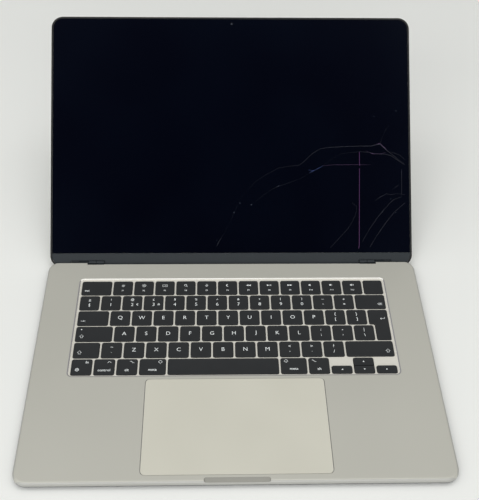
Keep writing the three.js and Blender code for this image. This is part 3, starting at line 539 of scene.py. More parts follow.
def etched_glass():
    """Acid-etched glass over a painted back: satin and pale, smoother than the metal round it."""
    material, tree, place = blank("etched_trackpad_glass")
    drift = add_node(tree, "ShaderNodeTexNoise", grains(60.0, detail=1.0), Vector=place)
    tones = add_node(
        tree, "ShaderNodeValToRGB", stops=near_tones("#C2C0B3", "#C5C3B6"), Fac=drift.outputs["Fac"])
    # The acid leaves a tooth of a few hundredths of a millimetre, drawn at 0.3 mm so that it shows.
    tooth = add_node(tree, "ShaderNodeTexNoise", grains(0.3), Vector=place)
    relief = add_node(
        tree, "ShaderNodeBump", {"Distance": 0.01 * MM, "Strength": 0.15}, Height=tooth.outputs["Fac"])
    return finished(
        material, "#C4C2B5", {"Roughness": 0.42, "Coat Weight": 0.2, "Coat Roughness": 0.35},
        Base_Color=tones.outputs["Color"], Normal=relief.outputs["Normal"])


def display_cover():
    """Polished cover glass over an unlit panel: near black, with a cold blue cast and clear reflections."""
    material, tree, place = blank("unlit_display_glass")
    drift = add_node(tree, "ShaderNodeTexNoise", grains(90.0, detail=1.0), Vector=place)
    tones = add_node(
        tree, "ShaderNodeValToRGB", stops=near_tones("#02030B", "#03050E"), Fac=drift.outputs["Fac"])
    # Wiping leaves smears about as wide as a finger.
    smears = add_node(tree, "ShaderNodeTexNoise", grains(25.0, detail=3.0), Vector=place)
    sheen = add_node(
        tree, "ShaderNodeMapRange", {"To Min": 0.05, "To Max": 0.09}, Value=smears.outputs["Fac"])
    return finished(
        material, "#03050D", {"Roughness": 0.06, "Specular IOR Level": 0.25},
        Base_Color=tones.outputs["Color"], Roughness=sheen.outputs["Result"])


def brushed_metal(name, colour, roughness):
    """Cut and tumbled metal: a fine short brushing along X, with bright edges."""
    material, tree, place = blank(name)
    stretch = add_node(tree, "ShaderNodeMapping", {"Scale": (1.0, 12.0, 1.0)}, Vector=place)
    # The brushing is 0.8 mm long, and a twelfth of that across.
    brushing = add_node(
        tree, "ShaderNodeTexNoise", {"Scale": 1 / (0.8 * MM), "Detail": 3.0},
        Vector=stretch.outputs["Vector"])
    sheen = add_node(
        tree, "ShaderNodeMapRange", {"To Min": roughness - 0.08, "To Max": roughness + 0.1},
        Value=brushing.outputs["Fac"])
    relief = add_node(
        tree, "ShaderNodeBump", {"Distance": 0.01 * MM, "Strength": 0.2}, Height=brushing.outputs["Fac"])
    return finished(
        material, colour, {"Roughness": roughness, "Metallic": 1.0},
        Roughness=sheen.outputs["Result"], Normal=relief.outputs["Normal"])


def fractured_glass(name, dim, bright):
    """Broken faces of black-backed glass: rough slivers that catch a little light, more in some places.

    They mirror less than bare glass, because most of the light that enters a crack is lost in it.
    """
    material, tree, place = blank(name)
    # Facets of a few millimetres, as the light falls on a crack that bends
    facets = add_node(tree, "ShaderNodeTexNoise", grains(4.0), Vector=place)
    tones = add_node(tree, "ShaderNodeValToRGB", stops=near_tones(dim, bright), Fac=facets.outputs["Fac"])
    sheen = add_node(
        tree, "ShaderNodeMapRange", {"To Min": 0.35, "To Max": 0.7}, Value=facets.outputs["Fac"])
    return finished(
        material, dim, {"Roughness": 0.5, "Specular IOR Level": 0.15},
        Base_Color=tones.outputs["Color"], Roughness=sheen.outputs["Result"])


def lit_pixels():
    """A column of display pixels that stays on: a dim violet of its own, with a gloss like the glass."""
    material, tree, place = blank("lit_violet_pixels")
    # Rows of pixels are about 0.11 mm high. The wave repeats every 0.52 mm, so that they show.
    rows = add_node(
        tree, "ShaderNodeTexWave", {"bands_direction": "Z", "Scale": 0.6 / MM}, Vector=place)
    sheen = add_node(tree, "ShaderNodeMapRange", {"To Min": 0.2, "To Max": 0.4}, Value=rows.outputs["Fac"])
    return finished(
        material, "#08040A",
        {"Roughness": 0.3, "Emission Strength": 1.0, "Emission Color": linear("#43194C")},
        Roughness=sheen.outputs["Result"])


def solder_mask():
    """Gloss lacquer over fibreglass board, dark green with paler fields of copper under it."""
    material, tree, place = blank("solder_mask")
    fields = add_node(tree, "ShaderNodeTexVoronoi", {"Scale": 1 / (4 * MM)}, Vector=place)
    tones = add_node(
        tree, "ShaderNodeValToRGB", stops=near_tones("#14231C", "#1E3528"), Fac=fields.outputs["Distance"])
    return finished(material, "#14231C", {"Roughness": 0.35}, Base_Color=tones.outputs["Color"])


def painted_table():
    """A rolled coat of pale satin paint, with no more than a slow drift in its tone."""
    material, tree, place = blank("painted_table")
    drift = add_node(tree, "ShaderNodeTexNoise", grains(300.0, detail=1.0), Vector=place)
    tones = add_node(
        tree, "ShaderNodeValToRGB", stops=near_tones("#E4E5E2", "#E6E7E4"), Fac=drift.outputs["Fac"])
    return finished(material, "#E4E5E2", {"Roughness": 0.7}, Base_Color=tones.outputs["Color"])


# Deck, lid and underside: blasted and anodised, so they are even and soft in every light
ALUMINIUM = anodised_aluminium("anodised_aluminium", "#B9B8AF", "#BCBBB2", 0.5)
# The web between the keys: the deck's blasted metal, painted paler than the deck as painted light
PAINTED_LIGHT_WEB = anodised_aluminium("painted_light_well_aluminium", "#D4D1C8", "#D8D5CC", 0.5, metallic=0.3)
# Upright walls of the well and the rim round the glass: a near-white painted highlight that draws a bright
# line
PAINTED_HIGHLIGHT_EDGE = anodised_aluminium("painted_highlight_well_edge", "#F2F1EC", "#F8F7F3", 0.6, metallic=0.15)
# The slope round the well: painted shade, a thin dark line that stands for the dark keys it mirrors
PAINTED_SHADE_CHAMFER = anodised_aluminium("painted_shade_chamfer", "#8E8D90", "#949396", 0.4)
# The finger scoop: hollow milled, and painted darker than the deck as painted shade
PAINTED_SHADE_SCOOP = anodised_aluminium("painted_shade_scoop", "#8A8982", "#8E8D86", 0.5)
# The side walls: the deck's blasted metal, made a little greyer as painted shade
PAINTED_SHADE_SIDE = anodised_aluminium("painted_shade_side_band", "#A6A6A1", "#A9A9A4", 0.45, metallic=0.2)
# The curve under the sides: smooth metal painted dark as painted shade, which draws a dark line under the
# case
PAINTED_SHADE_LOWER_EDGE = anodised_aluminium("painted_shade_lower_edge", "#5C5C60", "#626266", 0.3, metallic=1.0)
# The heat spreader: rolled sheet, a little glossier than blasted metal
INNER_ALUMINIUM = anodised_aluminium("rolled_aluminium", "#A4A49F", "#ADADA8", 0.38)

# ABS from a spark-eroded mould: matt, with a soft low sheen on the dished tops
KEY_PLASTIC = matt_skin("abs_keycap", "#1F2123", "#212325", 0.55, gloss=0.3)
# The same kind of mould, a little bluer and paler, as the strip under the display is
HINGE_PLASTIC = matt_skin("moulded_hinge_cover", "#1E2428", "#20262A", 0.55, gloss=0.3)
# Moulded nylon of housings inside: plain, dark and dull
BLACK_PLASTIC = matt_skin("black_nylon", "#191A1C", "#1E1F21", 0.55)
# Pressed rubber of the feet: the coarsest tooth, with almost no highlight
RUBBER = matt_skin("moulded_rubber", "#151617", "#1A1B1C", 0.75, grain_mm=0.4, bump=0.4)
# Extruded soft rubber round the display: nearly black, so the glass seems to run on to the rim
GASKET_RUBBER = matt_skin("black_gasket_rubber", "#08090A", "#0B0C0D", 0.7, grain_mm=0.4)
# Printed paint, a hair proud of the keys: white with crisp edges
LEGEND_PAINT = matt_skin("white_legend_paint", "#E2E6E6", "#E8ECEC", 0.5, bump=0.1)
# Sprayed lacquer over the hinge steel: as dark as the strip, with a slight gloss
LACQUERED_STEEL = matt_skin("lacquered_hinge_steel", "#1E2428", "#20262A", 0.5, gloss=0.3)
# Wrapped film of the battery cells: dark, smoother than plastic
CELL_FILM = matt_skin("cell_wrap_film", "#1C1D1F", "#232426", 0.4)
# Laminated polyimide of the display cable: amber and fairly glossy
FLEX_FILM = matt_skin("polyimide_film", "#6B4618", "#76501F", 0.35)
# Ink printed behind the glass round the camera: a black a shade duller than the display
CAMERA_RING = matt_skin("camera_ring_ink", "#06070A", "#090A0E", 0.4, gloss=0.2)
# Coated lens of the camera: the one grey-blue point in the black rim
CAMERA_LENS = matt_skin("coated_lens", "#2A2E38", "#343A46", 0.2, gloss=0.4)

# Stamped steel: mid grey with a fine brushing
STEEL = brushed_metal("stamped_steel", "#9A9C9E", 0.35)
# Nickel plate on the shells of the ports, darkened as painted shade so that the openings stay dark
PAINTED_SHADE_PORT_STEEL = brushed_metal("painted_shade_nickel", "#4A4C4F", 0.4)
# Plated contacts: warm and bright
GOLD = brushed_metal("gold_plating", "#C9A45A", 0.25)
PAD_GLASS = etched_glass()
DISPLAY_GLASS = display_cover()
SOLDER_MASK = solder_mask()

# Cracks: most are grey, some split the light into violet or blue, and crushed spots are the brightest
FRACTURE = fractured_glass("fractured_glass", "#1A1B22", "#2D2E38")
TINTED_FRACTURE = fractured_glass("tinted_fractured_glass", "#2A2136", "#4E3656")
BLUE_FRACTURE = fractured_glass("blue_fractured_glass", "#26325A", "#3A4C80")
BRIGHT_FRACTURE = fractured_glass("crushed_glass", "#3E4654", "#586070")
PIXEL_LINE = lit_pixels()


# Base

BASE = Box(-HALF_WIDTH, HALF_WIDTH, 0.0, EAR_Y + DECK_EDGE_RADIUS)


def bottom_inset(z):
    """How far the side is set in at a height, where it curves under the case."""
    return edge_inset(BOTTOM_EDGE_RADIUS, z - BASE_BOTTOM)


def slab_rings(box, radius, heights_and_insets):
    """Outlines of a slab with round corners, each set in by its own distance at its own height."""
    return [(rounded_box(inset(box, edge), radius - edge), z) for z, edge in heights_and_insets]


def key_outlines():
    """The plan of every key: the moving ones by their nodes, and the others in the rows between them."""
    moving = {node: plan_of(base_box(node)) for node in frame["nodes"] if node.startswith("key_")}
    carried = []
    for first, legends in KEY_ROWS.items():
        neighbour = moving[first]
        start = moving["key_escape"].left if first == "key_backspace" else neighbour.right + KEY_GAP
        for number, legend in enumerate(legends):
            left = start + number * KEY_PITCH
            box = Box(left, left + KEY_PITCH - KEY_GAP, neighbour.front, neighbour.rear)
            carried.append((legend, box))
    return moving, carried


def rear_cutters():
    """The recess between the ears, its two hinge pockets, and the path of the lid's rear edge."""
    low, high = BASE_BOTTOM - CUT, DECK_TOP + CUT
    ends = block(Box(-HALF_WIDTH - CUT, HALF_WIDTH + CUT, EAR_Y, BASE.rear + CUT), low, high)
    recess = block(Box(-RECESS_HALF_WIDTH, RECESS_HALF_WIDTH, RECESS_Y, EAR_Y + CUT), low, high)
    pockets = [
        block(Box(min(near, far), max(near, far), POCKET_Y, RECESS_Y + CUT), low, high)
        for near, far in [(-RECESS_HALF_WIDTH, POCKET_WIDTH - RECESS_HALF_WIDTH),
                          (RECESS_HALF_WIDTH, RECESS_HALF_WIDTH - POCKET_WIDTH)]]
    high_lid = lid_box("lid_shell")[1]
    edge_y, edge_z = high_lid.y - LID_EDGE_RADIUS, high_lid.z - LID_EDGE_RADIUS
    reach = math.hypot(edge_y, edge_z) + LID_EDGE_RADIUS + SWING_GAP
    chord = lid_box("display_gasket")[0].z - SWING_GAP
    facing = math.radians(90) - OPEN_ANGLE
    spread = math.acos(chord / reach)
    swing = [
        Vector((AXIS_Y + reach * math.cos(turn), AXIS_Z + reach * math.sin(turn)))
        for turn in [facing - spread + 2 * spread * step / ROUND_STEPS for step in range(ROUND_STEPS + 1)]]
    return [ends, recess, *pockets, along_x(swing, -HALF_WIDTH - CUT, HALF_WIDTH + CUT)]


def notch_cutter():
    """A scoop in the front edge that is deepest at the edge and runs out softly at its two ends."""
    # Distances from either end at which the scoop has reached a share of its full depth
    run_out = [(0.0, 0.0), (0.25, 0.5), (0.8, 0.85), (NOTCH_END_REACH, 1.0)]
    left = [(from_end - NOTCH_HALF_WIDTH, share) for from_end, share in run_out]
    right = [(-x, share) for x, share in reversed(left)]
    rings = []
    for x, share in left + right:
        reach = NOTCH_SHALLOW_REACH + (NOTCH_REACH - NOTCH_SHALLOW_REACH) * (0.6 + 0.4 * share)
        depth = NOTCH_DEPTH * max(share, 0.04)
        curve = [step / EDGE_STEPS for step in range(EDGE_STEPS + 1)]
        section = [Vector((reach * along, DECK_TOP - depth * (1 - 0.6 * along - 0.4 * along ** 3)))
                   for along in curve]
        section += [Vector((reach, DECK_TOP + CUT)), Vector((-CUT, DECK_TOP + CUT)),
                    Vector((-CUT, DECK_TOP - depth))]
        rings.append((section, x))
    points, faces = layered(rings)
    return [(z, x, y) for x, y, z in points], faces


def slot_outline(low, high, grown):
    """A slot with round ends, in Y and Z, round a port's box."""
    box = Box(low.y - grown, high.y + grown, low.z - grown, high.z + grown)
    return rounded_box(box, (box.rear - box.front) / 2 - 0.01, 8)


def port_cutters():
    """The openings of the ports in the two side walls."""
    cutters = []
    for node in ("charge_port", "usb_port_rear", "usb_port_front"):
        low, high = base_box(node)
        section = slot_outline(low, high, PORT_CLEARANCE)
        cutters.append(along_x(section, -HALF_WIDTH - CUT, -HALF_WIDTH + WALL + CUT))
    hole = circle(JACK_RADIUS + PORT_CLEARANCE, *jack_middle())
    cutters.append(along_x(hole, HALF_WIDTH - WALL - CUT, HALF_WIDTH + CUT))
    return cutters


def jack_middle():
    """Where the headphone jack's bore is in Y and Z: its collar reaches the top of its solid."""
    low, high = base_box("audio_jack")
    return (low.y + high.y) / 2, high.z - JACK_RADIUS


def top_case(moving, carried):
    """The milled case: a slab hollowed from below, with the pan of the key well left standing in it."""
    low_heights = [CASE_BOTTOM + rise for rise in (0.0, 0.3, 0.7, 1.2)]
    low_heights.append(BASE_BOTTOM + BOTTOM_EDGE_RADIUS)
    bottom = [(height, bottom_inset(height)) for height in low_heights]
    top = [(DECK_TOP - depth, edge_inset(DECK_EDGE_RADIUS, depth))
           for depth in edge_heights(DECK_EDGE_RADIUS)]
    piece = as_object("top_case_shell", layered(slab_rings(BASE, CORNER_RADIUS, bottom + top)), BASE_PLACE)
    hollow = Box(-HALF_WIDTH + WALL, HALF_WIDTH - WALL, NOTCH_REACH, POCKET_Y - REAR_WALL)
    inside = prism(rounded_box(hollow, CORNER_RADIUS - WALL), CASE_BOTTOM - CUT, DECK_UNDER)
    combine(piece, [inside], BASE_PLACE)
    pan = prism(rounded_box(inset(WELL, -PAN_WALL), WELL_RADIUS + PAN_WALL), WEB_UNDER,
                DECK_UNDER + DECK_THICKNESS / 2)
    combine(piece, [pan], BASE_PLACE, "UNION")
    pad_low, pad_high = base_box("trackpad_glass")
    pad_hole = inset(plan_of((pad_low, pad_high)), -PAD_GAP)
    boxes = [box for _, box in carried]
    alone = [node for node in moving if node not in ("key_return", "key_arrow_up", "key_arrow_down")]
    boxes += [moving[node] for node in alone]
    # The up and down arrows share one hole.
    down, up = moving["key_arrow_down"], moving["key_arrow_up"]
    boxes.append(down._replace(rear=up.rear))
    holes = [flared_prism(inset(box, -KEY_CLEARANCE), KEY_RADIUS + KEY_CLEARANCE, WEB_UNDER - CUT, WEB_TOP,
                          KEY_HOLE_LIP, SMALL_CORNER_STEPS) for box in boxes]
    cutters = [
        well_cutter(),
        flared_prism(pad_hole, PAD_RADIUS, DECK_UNDER - CUT, DECK_TOP, PAD_LIP),
        together(holes),
        return_hole(moving),
        notch_cutter(),
        *rear_cutters(),
        together(port_cutters()),
    ]
    combine(piece, cutters, BASE_PLACE)
    smooth(piece)
    finish_piece(piece, ALUMINIUM, "base", ["top_case"])
    # Painted light and shade: a paler web, highlighted walls, and shaded chamfer, lower edge, scoop and sides
    for material in (PAINTED_LIGHT_WEB, PAINTED_HIGHLIGHT_EDGE, PAINTED_SHADE_CHAMFER, PAINTED_SHADE_LOWER_EDGE, PAINTED_SHADE_SCOOP, PAINTED_SHADE_SIDE):
        piece.data.materials.append(material)
    for face in piece.data.polygons:
        face.material_index = case_finish(face, piece.data.vertices)


def well_cutter():
    """The key well: a chamfer at the front and the sides, and a small lip at the rear."""
    mouth = inset(WELL, -WELL_CHAMFER_WIDTH)._replace(rear=WELL.rear + WELL_REAR_LIP)
    wide = rounded_box(mouth, WELL_RADIUS + WELL_CHAMFER_WIDTH)
    straight = rounded_box(WELL, WELL_RADIUS)
    return layered([(straight, WEB_TOP), (straight, DECK_TOP - WELL_CHAMFER_DEPTH), (wide, DECK_TOP),
                    (wide, DECK_TOP + CUT)])


def case_finish(face, vertices):
    """The finish of a face of the top case, with its painted light or shade, as the number of its material.

    The scoop is told by a face's points, because the long rounding of the edge has its middle at the scoop.
    """
    x, y, z = face.center.x / MM, (face.center.y - BASE_FRONT) / MM, face.center.z / MM
    shell, web, bright, chamfer, lower, scoop, side = range(7)
    well = inset(WELL, -WELL_CHAMFER_WIDTH - 0.05)
    if well.left < x < well.right and well.front < y < well.rear:
        # The chamfer gets a painted highlight where it faces the front, and painted shade elsewhere.
        if DECK_TOP - WELL_CHAMFER_DEPTH < z < DECK_TOP - 0.005:
            return bright if face.normal.y < -0.3 else chamfer
        # The walls get a painted highlight, except those facing the rear.
        if WEB_TOP + 0.02 < z <= DECK_TOP - WELL_CHAMFER_DEPTH:
            return bright if face.normal.y < 0.3 else shell
        # The web is painted paler, as painted light.
        if WEB_UNDER - 0.1 < z < WEB_TOP + 0.02:
            return web
    # Low on the sides, painted shade draws a dark line.
    if z < PAINTED_SHADE_TOP:
        return lower
    reach = max(abs(vertices[index].co.x) for index in face.vertices) / MM
    in_scoop = reach < NOTCH_HALF_WIDTH + 0.05 and y < NOTCH_REACH and face.normal.z > 0.3
    # The scoop gets painted shade.
    if in_scoop and z < DECK_TOP - 0.02:
        return scoop
    # The side walls and the rounding of the edge get painted shade.
    outside = abs(x) > HALF_WIDTH - DECK_EDGE_RADIUS or y < DECK_EDGE_RADIUS or y > EAR_Y - 0.1
    return side if outside and face.normal.z < 0.85 else shell


def return_corners(moving, grown):
    """The return key's outline: it fills the end of two rows, and is wider in the rear one."""
    whole = moving["key_return"]
    rear_row = moving["key_tab"]
    narrow_left = whole.right - (KEY_PITCH * 0.75 - KEY_GAP)
    return [
        (narrow_left - grown, whole.front - grown),
        (whole.right + grown, whole.front - grown),
        (whole.right + grown, whole.rear + grown),
        (whole.left - grown, whole.rear + grown),
        (whole.left - grown, rear_row.front - grown),
        (narrow_left - grown, rear_row.front - grown),
    ]


def return_hole(moving):
    """The return key's hole, which flares at its mouth like the others."""
    straight = rounded(return_corners(moving, KEY_CLEARANCE), KEY_RADIUS, SMALL_CORNER_STEPS)
    rings = [(straight, WEB_UNDER - CUT)]
    for step in range(LIP_STEPS + 1):
        turn = math.radians(90) * step / LIP_STEPS
        grown = KEY_CLEARANCE + KEY_HOLE_LIP * (1 - math.cos(turn))
        outline = rounded(return_corners(moving, grown), KEY_RADIUS, SMALL_CORNER_STEPS)
        rings.append((outline, WEB_TOP - KEY_HOLE_LIP * (1 - math.sin(turn))))
    rings.append((rings[-1][0], WEB_TOP + CUT))
    return layered(rings)


def bottom_cover():
    """A sheet whose rim curves up to the case, with a sink for each screw."""
    low, high = base_box("bottom_cover")
    heights = [low.z + rise for rise in (0.0, 0.06, 0.2, 0.45, 0.75, high.z - low.z)]
    rings = slab_rings(BASE, CORNER_RADIUS, [(height, bottom_inset(height)) for height in heights])
    piece = as_object("bottom_cover_sheet", layered(rings), BASE_PLACE)
    sink = prism(circle(SCREW_SINK_RADIUS), low.z - CUT, low.z + SCREW_SINK_DEPTH)
    hole = prism(circle(SCREW_HOLE_RADIUS), low.z - CUT, high.z + CUT)
    sinks, holes = [together([moved(cutter, *screw_place(number)) for number in SCREW_NUMBERS])
                    for cutter in (sink, hole)]
    combine(piece, [*rear_cutters(), sinks, holes], BASE_PLACE)
    smooth(piece)
    finish_piece(piece, ALUMINIUM, "base", ["bottom_cover"])
    # The flat underside is blasted, and the curved rim carries the same painted shade as the case's lower
    # edge.
    piece.data.materials.append(PAINTED_SHADE_LOWER_EDGE)
    for face in piece.data.polygons:
        face.material_index = 1 if face.normal.z > -0.95 else 0


def screw_place(number):
    low, high = base_box(f"cover_screw_{number}")
    return (low.x + high.x) / 2, (low.y + high.y) / 2


def cover_screws():
    """Flat heads on a short shank, with a six-lobed drive."""
    # Half a step round from the head's own points, so that the drive cuts no facet along its edge
    turns = [2 * math.pi * (step + 0.5) / ROUND_STEPS for step in range(ROUND_STEPS)]
    reaches = [DRIVE_RADIUS + DRIVE_LOBE * math.cos(6 * turn) for turn in turns]
    drive = [Vector((reach * math.cos(turn), reach * math.sin(turn)))
             for reach, turn in zip(reaches, turns)]
    for number in SCREW_NUMBERS:
        node = f"cover_screw_{number}"
        low, high = base_box(node)
        head, neck = (high.x - low.x) / 2, low.z + SCREW_HEAD_HEIGHT
        profile = [
            (0, low.z), (head - SCREW_HEAD_BEVEL, low.z), (head, low.z + SCREW_HEAD_BEVEL), (head, neck),
            (SCREW_SHANK_RADIUS, neck), (SCREW_SHANK_RADIUS, high.z - SCREW_TIP_BEVEL),
            (SCREW_SHANK_RADIUS - SCREW_TIP_BEVEL, high.z), (0, high.z)]
        x, y = screw_place(number)
        piece = as_object(f"{node}_body", moved(lathe(profile), x, y), BASE_PLACE)
        combine(piece, [moved(prism(drive, low.z - CUT, low.z + DRIVE_DEPTH), x, y)], BASE_PLACE)
        smooth(piece)
        finish_piece(piece, STEEL, "base", [node])


def feet():
    """Round pads with a soft edge and a shallow ring moulded into the underside."""
    turns = [math.radians(90) * step / EDGE_STEPS for step in range(EDGE_STEPS + 1)]
    for node in ("foot_front_left", "foot_front_right", "foot_rear_left", "foot_rear_right"):
        low, high = base_box(node)
        radius = (high.x - low.x) / 2
        groove_top = low.z + FOOT_GROOVE_DEPTH
        groove = [(radius * 0.62, low.z), (radius * 0.64, groove_top), (radius * 0.68, groove_top),
                  (radius * 0.7, low.z)]
        rounding = [(radius - FOOT_EDGE + FOOT_EDGE * math.sin(turn),
                     low.z + FOOT_EDGE - FOOT_EDGE * math.cos(turn)) for turn in turns]
        profile = [(0, low.z), *groove, *rounding, (radius, high.z), (0, high.z)]
        pad = moved(lathe(profile), (low.x + high.x) / 2, (low.y + high.y) / 2)
        piece = as_object(f"{node}_pad", pad, BASE_PLACE)
        smooth(piece)
        finish_piece(piece, RUBBER, "base", [node])


def trackpad():
    """A glass plate with a fine bevel; its edge below is black as painted shade, which draws the dark line
    round it.
    """
    low, high = base_box("trackpad_glass")
    box = Box(low.x + PAD_SIDE_GAP, high.x - PAD_SIDE_GAP, low.y, high.y)
    radius = PAD_RADIUS - PAD_GAP
    rings = [(rounded_box(box, radius), low.z)]
    for height in edge_heights(PAD_BEVEL, LIP_STEPS):
        edge = edge_inset(PAD_BEVEL, height)
        rings.append((rounded_box(inset(box, edge), radius - edge), high.z - height))
    piece = as_object("trackpad_plate", layered(rings), BASE_PLACE)
    smooth(piece)
    finish_piece(piece, PAD_GLASS, "base", ["trackpad_glass"])
    # Black nylon on the pad's edge is painted shade in the gap round it.
    piece.data.materials.append(BLACK_PLASTIC)
    for face in piece.data.polygons:
        if face.normal.z < 0.3 and face.normal.y > -0.7:
            face.material_index = 1


# Keys and their legends

# The legends of the keys between the moving ones, by the moving key that their row starts after.
# A letter stands alone. Two or three marks are the main one, the one above it and the one beside it.
KEY_ROWS = {
    "key_escape": [f"F{number}" for number in range(1, 13)],
    "key_backspace": ["§±", "1!", "2@€", "3£#", "4$", "5%", "6^", "7&", "8*", "9(", "0)", "-_", "=+"],
    "key_tab": ["Q", "W", "E", "R", "T", "Y", "U", "I", "O", "P", "[{", "]}"],
    "key_caps_lock": ["A", "S", "D", "F", "G", "H", "J", "K", "L", ";:", "'\"", "\\|"],
    "key_shift_left": ["`~", "Z", "X", "C", "V", "B", "N", "M", ",<", ".>", "/?"],
}

# The keys with a raised bar that a finger finds
FINDER_KEYS = ("F", "J")

LETTER_SIZE = 5.5
DIGIT_SIZE = 5.1
SIGN_SIZE = 3.3
MARK_SIZE = 4.2
WORD_SIZE = 3.6
SMALL_SIZE = 2.2
LEGEND_WEIGHT = 0.02


def arc_points(radius, start, end, x=0.0, y=0.0, squeeze=1.0, steps=16):
    """Points of an arc between two angles in degrees, narrowed across by the squeeze."""
    turns = [math.radians(start + (end - start) * step / steps) for step in range(steps + 1)]
    return [(x + squeeze * radius * math.cos(turn), y + radius * math.sin(turn)) for turn in turns]


def ring_points(radius, x=0.0, y=0.0, squeeze=1.0, steps=20):
    return arc_points(radius, 0, 360 - 360 / steps, x, y, squeeze, steps - 1)


def sun(radius, ray):
    """A small circle with eight rays."""
    lines = [(ring_points(radius, steps=12), True)]
    for number in range(8):
        turn = math.radians(45 * number)
        near, far = radius + 0.35, radius + 0.35 + ray
        lines.append(([(near * math.cos(turn), near * math.sin(turn)),
                       (far * math.cos(turn), far * math.sin(turn))], False))
    return lines


def triangle(x, size):
    """A small filled triangle that points along X."""
    return [([(x - size, -abs(size)), (x + size, 0), (x - size, abs(size))], FILLED)]


def speaker(waves):
    """A filled horn with as many sound waves beside it."""
    body = ([(-1.3, -0.4), (-0.8, -0.4), (-0.1, -0.95), (-0.1, 0.95), (-0.8, 0.4), (-1.3, 0.4)], FILLED)
    return [body] + [(arc_points(0.5 + 0.45 * wave, -45, 45, 0.0, steps=6), False) for wave in range(waves)]


# A symbol is a list of lines, each an open stroke, a closed one or a filled shape, in millimetres from its
# middle.
FILLED = "filled"
UP_ARROW = ([(0, 1.5), (1.4, 0.1), (0.65, 0.1), (0.65, -1.1), (-0.65, -1.1), (-0.65, 0.1), (-1.4, 0.1)], True)
SYMBOLS = {
    "tab": [([(-1.5, 0), (1.1, 0)], False), ([(0.4, 0.7), (1.1, 0), (0.4, -0.7)], False),
            ([(1.6, 0.8), (1.6, -0.8)], False)],
    "shift": [UP_ARROW],
    "caps": [UP_ARROW],
    "erase": [([(-1.7, 0), (-0.8, 0.9), (1.5, 0.9), (1.5, -0.9), (-0.8, -0.9)], True),
              ([(-0.2, 0.4), (0.7, -0.4)], False), ([(-0.2, -0.4), (0.7, 0.4)], False)],
    "return": [([(1.5, 0.9), (1.5, -0.3), (-1.3, -0.3)], False),
               ([(-0.6, 0.4), (-1.3, -0.3), (-0.6, -1.0)], False)],
    "globe": [(ring_points(1.35), True), (ring_points(1.35, squeeze=0.45), True),
              ([(-1.35, 0), (1.35, 0)], False)],
    "caret": [([(-0.9, -0.4), (0, 0.5), (0.9, -0.4)], False)],
    "switch": [([(-1.2, 0.55), (-0.4, 0.55), (0.4, -0.55), (1.2, -0.55)], False)],
    "diamond": [([(0, 1.1), (1.1, 0), (0, -1.1), (-1.1, 0)], True)],
    "dot": [(ring_points(0.55, steps=12), FILLED)],
    "F1": sun(0.45, 0.3),
    "F2": sun(0.6, 0.55),
    "F3": [([(-1.5, 0.8), (0.1, 0.8), (0.1, -0.8), (-1.5, -0.8)], True),
           ([(0.6, 0.8), (1.5, 0.8), (1.5, -0.8), (0.6, -0.8)], True)],
    "F4": [(ring_points(0.75, -0.25, 0.25, steps=12), True), ([(0.3, -0.3), (1.0, -1.0)], False)],
    "F5": [([(-0.35, 1.0), (0.35, 1.0), (0.35, -0.1), (-0.35, -0.1)], True),
           (arc_points(0.75, 180, 360, 0, 0.1, steps=8), False), ([(0, -0.65), (0, -1.1)], False)],
    "F6": [(arc_points(1.0, 60, 300, steps=12) + arc_points(0.8, 285, 75, 0.35, steps=10), FILLED)],
    "F7": triangle(0.8, -0.75) + triangle(-0.7, -0.75),
    "F8": triangle(-0.7, 0.75) + [([(0.5, 0.7), (0.5, -0.7)], False), ([(1.1, 0.7), (1.1, -0.7)], False)],
    "F9": triangle(-0.8, 0.75) + triangle(0.7, 0.75),
    "F10": speaker(0),
    "F11": speaker(1),
    "F12": speaker(2),
    "arrow": triangle(0, 0.75),
}


def text_solid(words, size):
    """The outlines of words, thinly raised, in millimetres about their own middle."""
    text = bpy.data.curves.new("legend_text", "FONT")
    text.body = words
    text.size = size
    text.align_x = "CENTER"
    text.extrude = LEGEND_PROUD
    # The print makes small marks a little bolder than the letters.
    text.offset = LEGEND_WEIGHT if size < DIGIT_SIZE else -LEGEND_WEIGHT
    text.resolution_u = 3
    return curve_solid(text)


def symbol_solid(lines, width=LEGEND_STROKE):
    """A symbol of flat strokes and filled shapes, in millimetres."""
    shapes = [prism([Vector(point) for point in points], -LEGEND_PROUD, LEGEND_PROUD)
              for points, kind in lines if kind == FILLED]
    strokes = [(points, closed) for points, closed in lines if closed != FILLED]
    return together(shapes + ([stroke_solid(strokes, width)] if strokes else []))


def stroke_solid(lines, width):
    """Strokes of an even width, pressed flat."""
    curve = bpy.data.curves.new("legend_symbol", "CURVE")
    curve.dimensions = "3D"
    curve.bevel_depth = width / 2
    curve.bevel_resolution = 1
    curve.use_fill_caps = True
    for points, closed in lines:
        spline = curve.splines.new("POLY")
        spline.points.add(len(points) - 1)
        for place, point in zip(spline.points, points):
            place.co = (point[0], point[1], 0, 1)
        spline.use_cyclic_u = closed
    points, faces = curve_solid(curve)
    flatten = LEGEND_PROUD / (width / 2)
    return [(x, y, z * flatten) for x, y, z in points], faces


def curve_solid(curve):
    """A curve's mesh as a solid, centred on its height, with its curve data removed again."""
    carrier = bpy.data.objects.new("legend_carrier", curve)
    bpy.context.scene.collection.objects.link(carrier)
    bpy.context.view_layer.update()
    mesh = bpy.data.meshes.new_from_object(carrier.evaluated_get(bpy.context.evaluated_depsgraph_get()))
    bpy.data.objects.remove(carrier)
    bpy.data.curves.remove(curve)
    work = bmesh.new()
    work.from_mesh(mesh)
    bmesh.ops.remove_doubles(work, verts=work.verts, dist=1e-4)
    work.to_mesh(mesh)
    work.free()
    points = [tuple(vertex.co) for vertex in mesh.vertices]
    faces = [list(face.vertices) for face in mesh.polygons]
    bpy.data.meshes.remove(mesh)
    return points, faces


def centred(solid):
    """A solid moved so that the middle of its plan is at the origin."""
    points, faces = solid
    middle = [(min(p[axis] for p in points) + max(p[axis] for p in points)) / 2 for axis in (0, 1)]
    return [(x - middle[0], y - middle[1], z) for x, y, z in points], faces


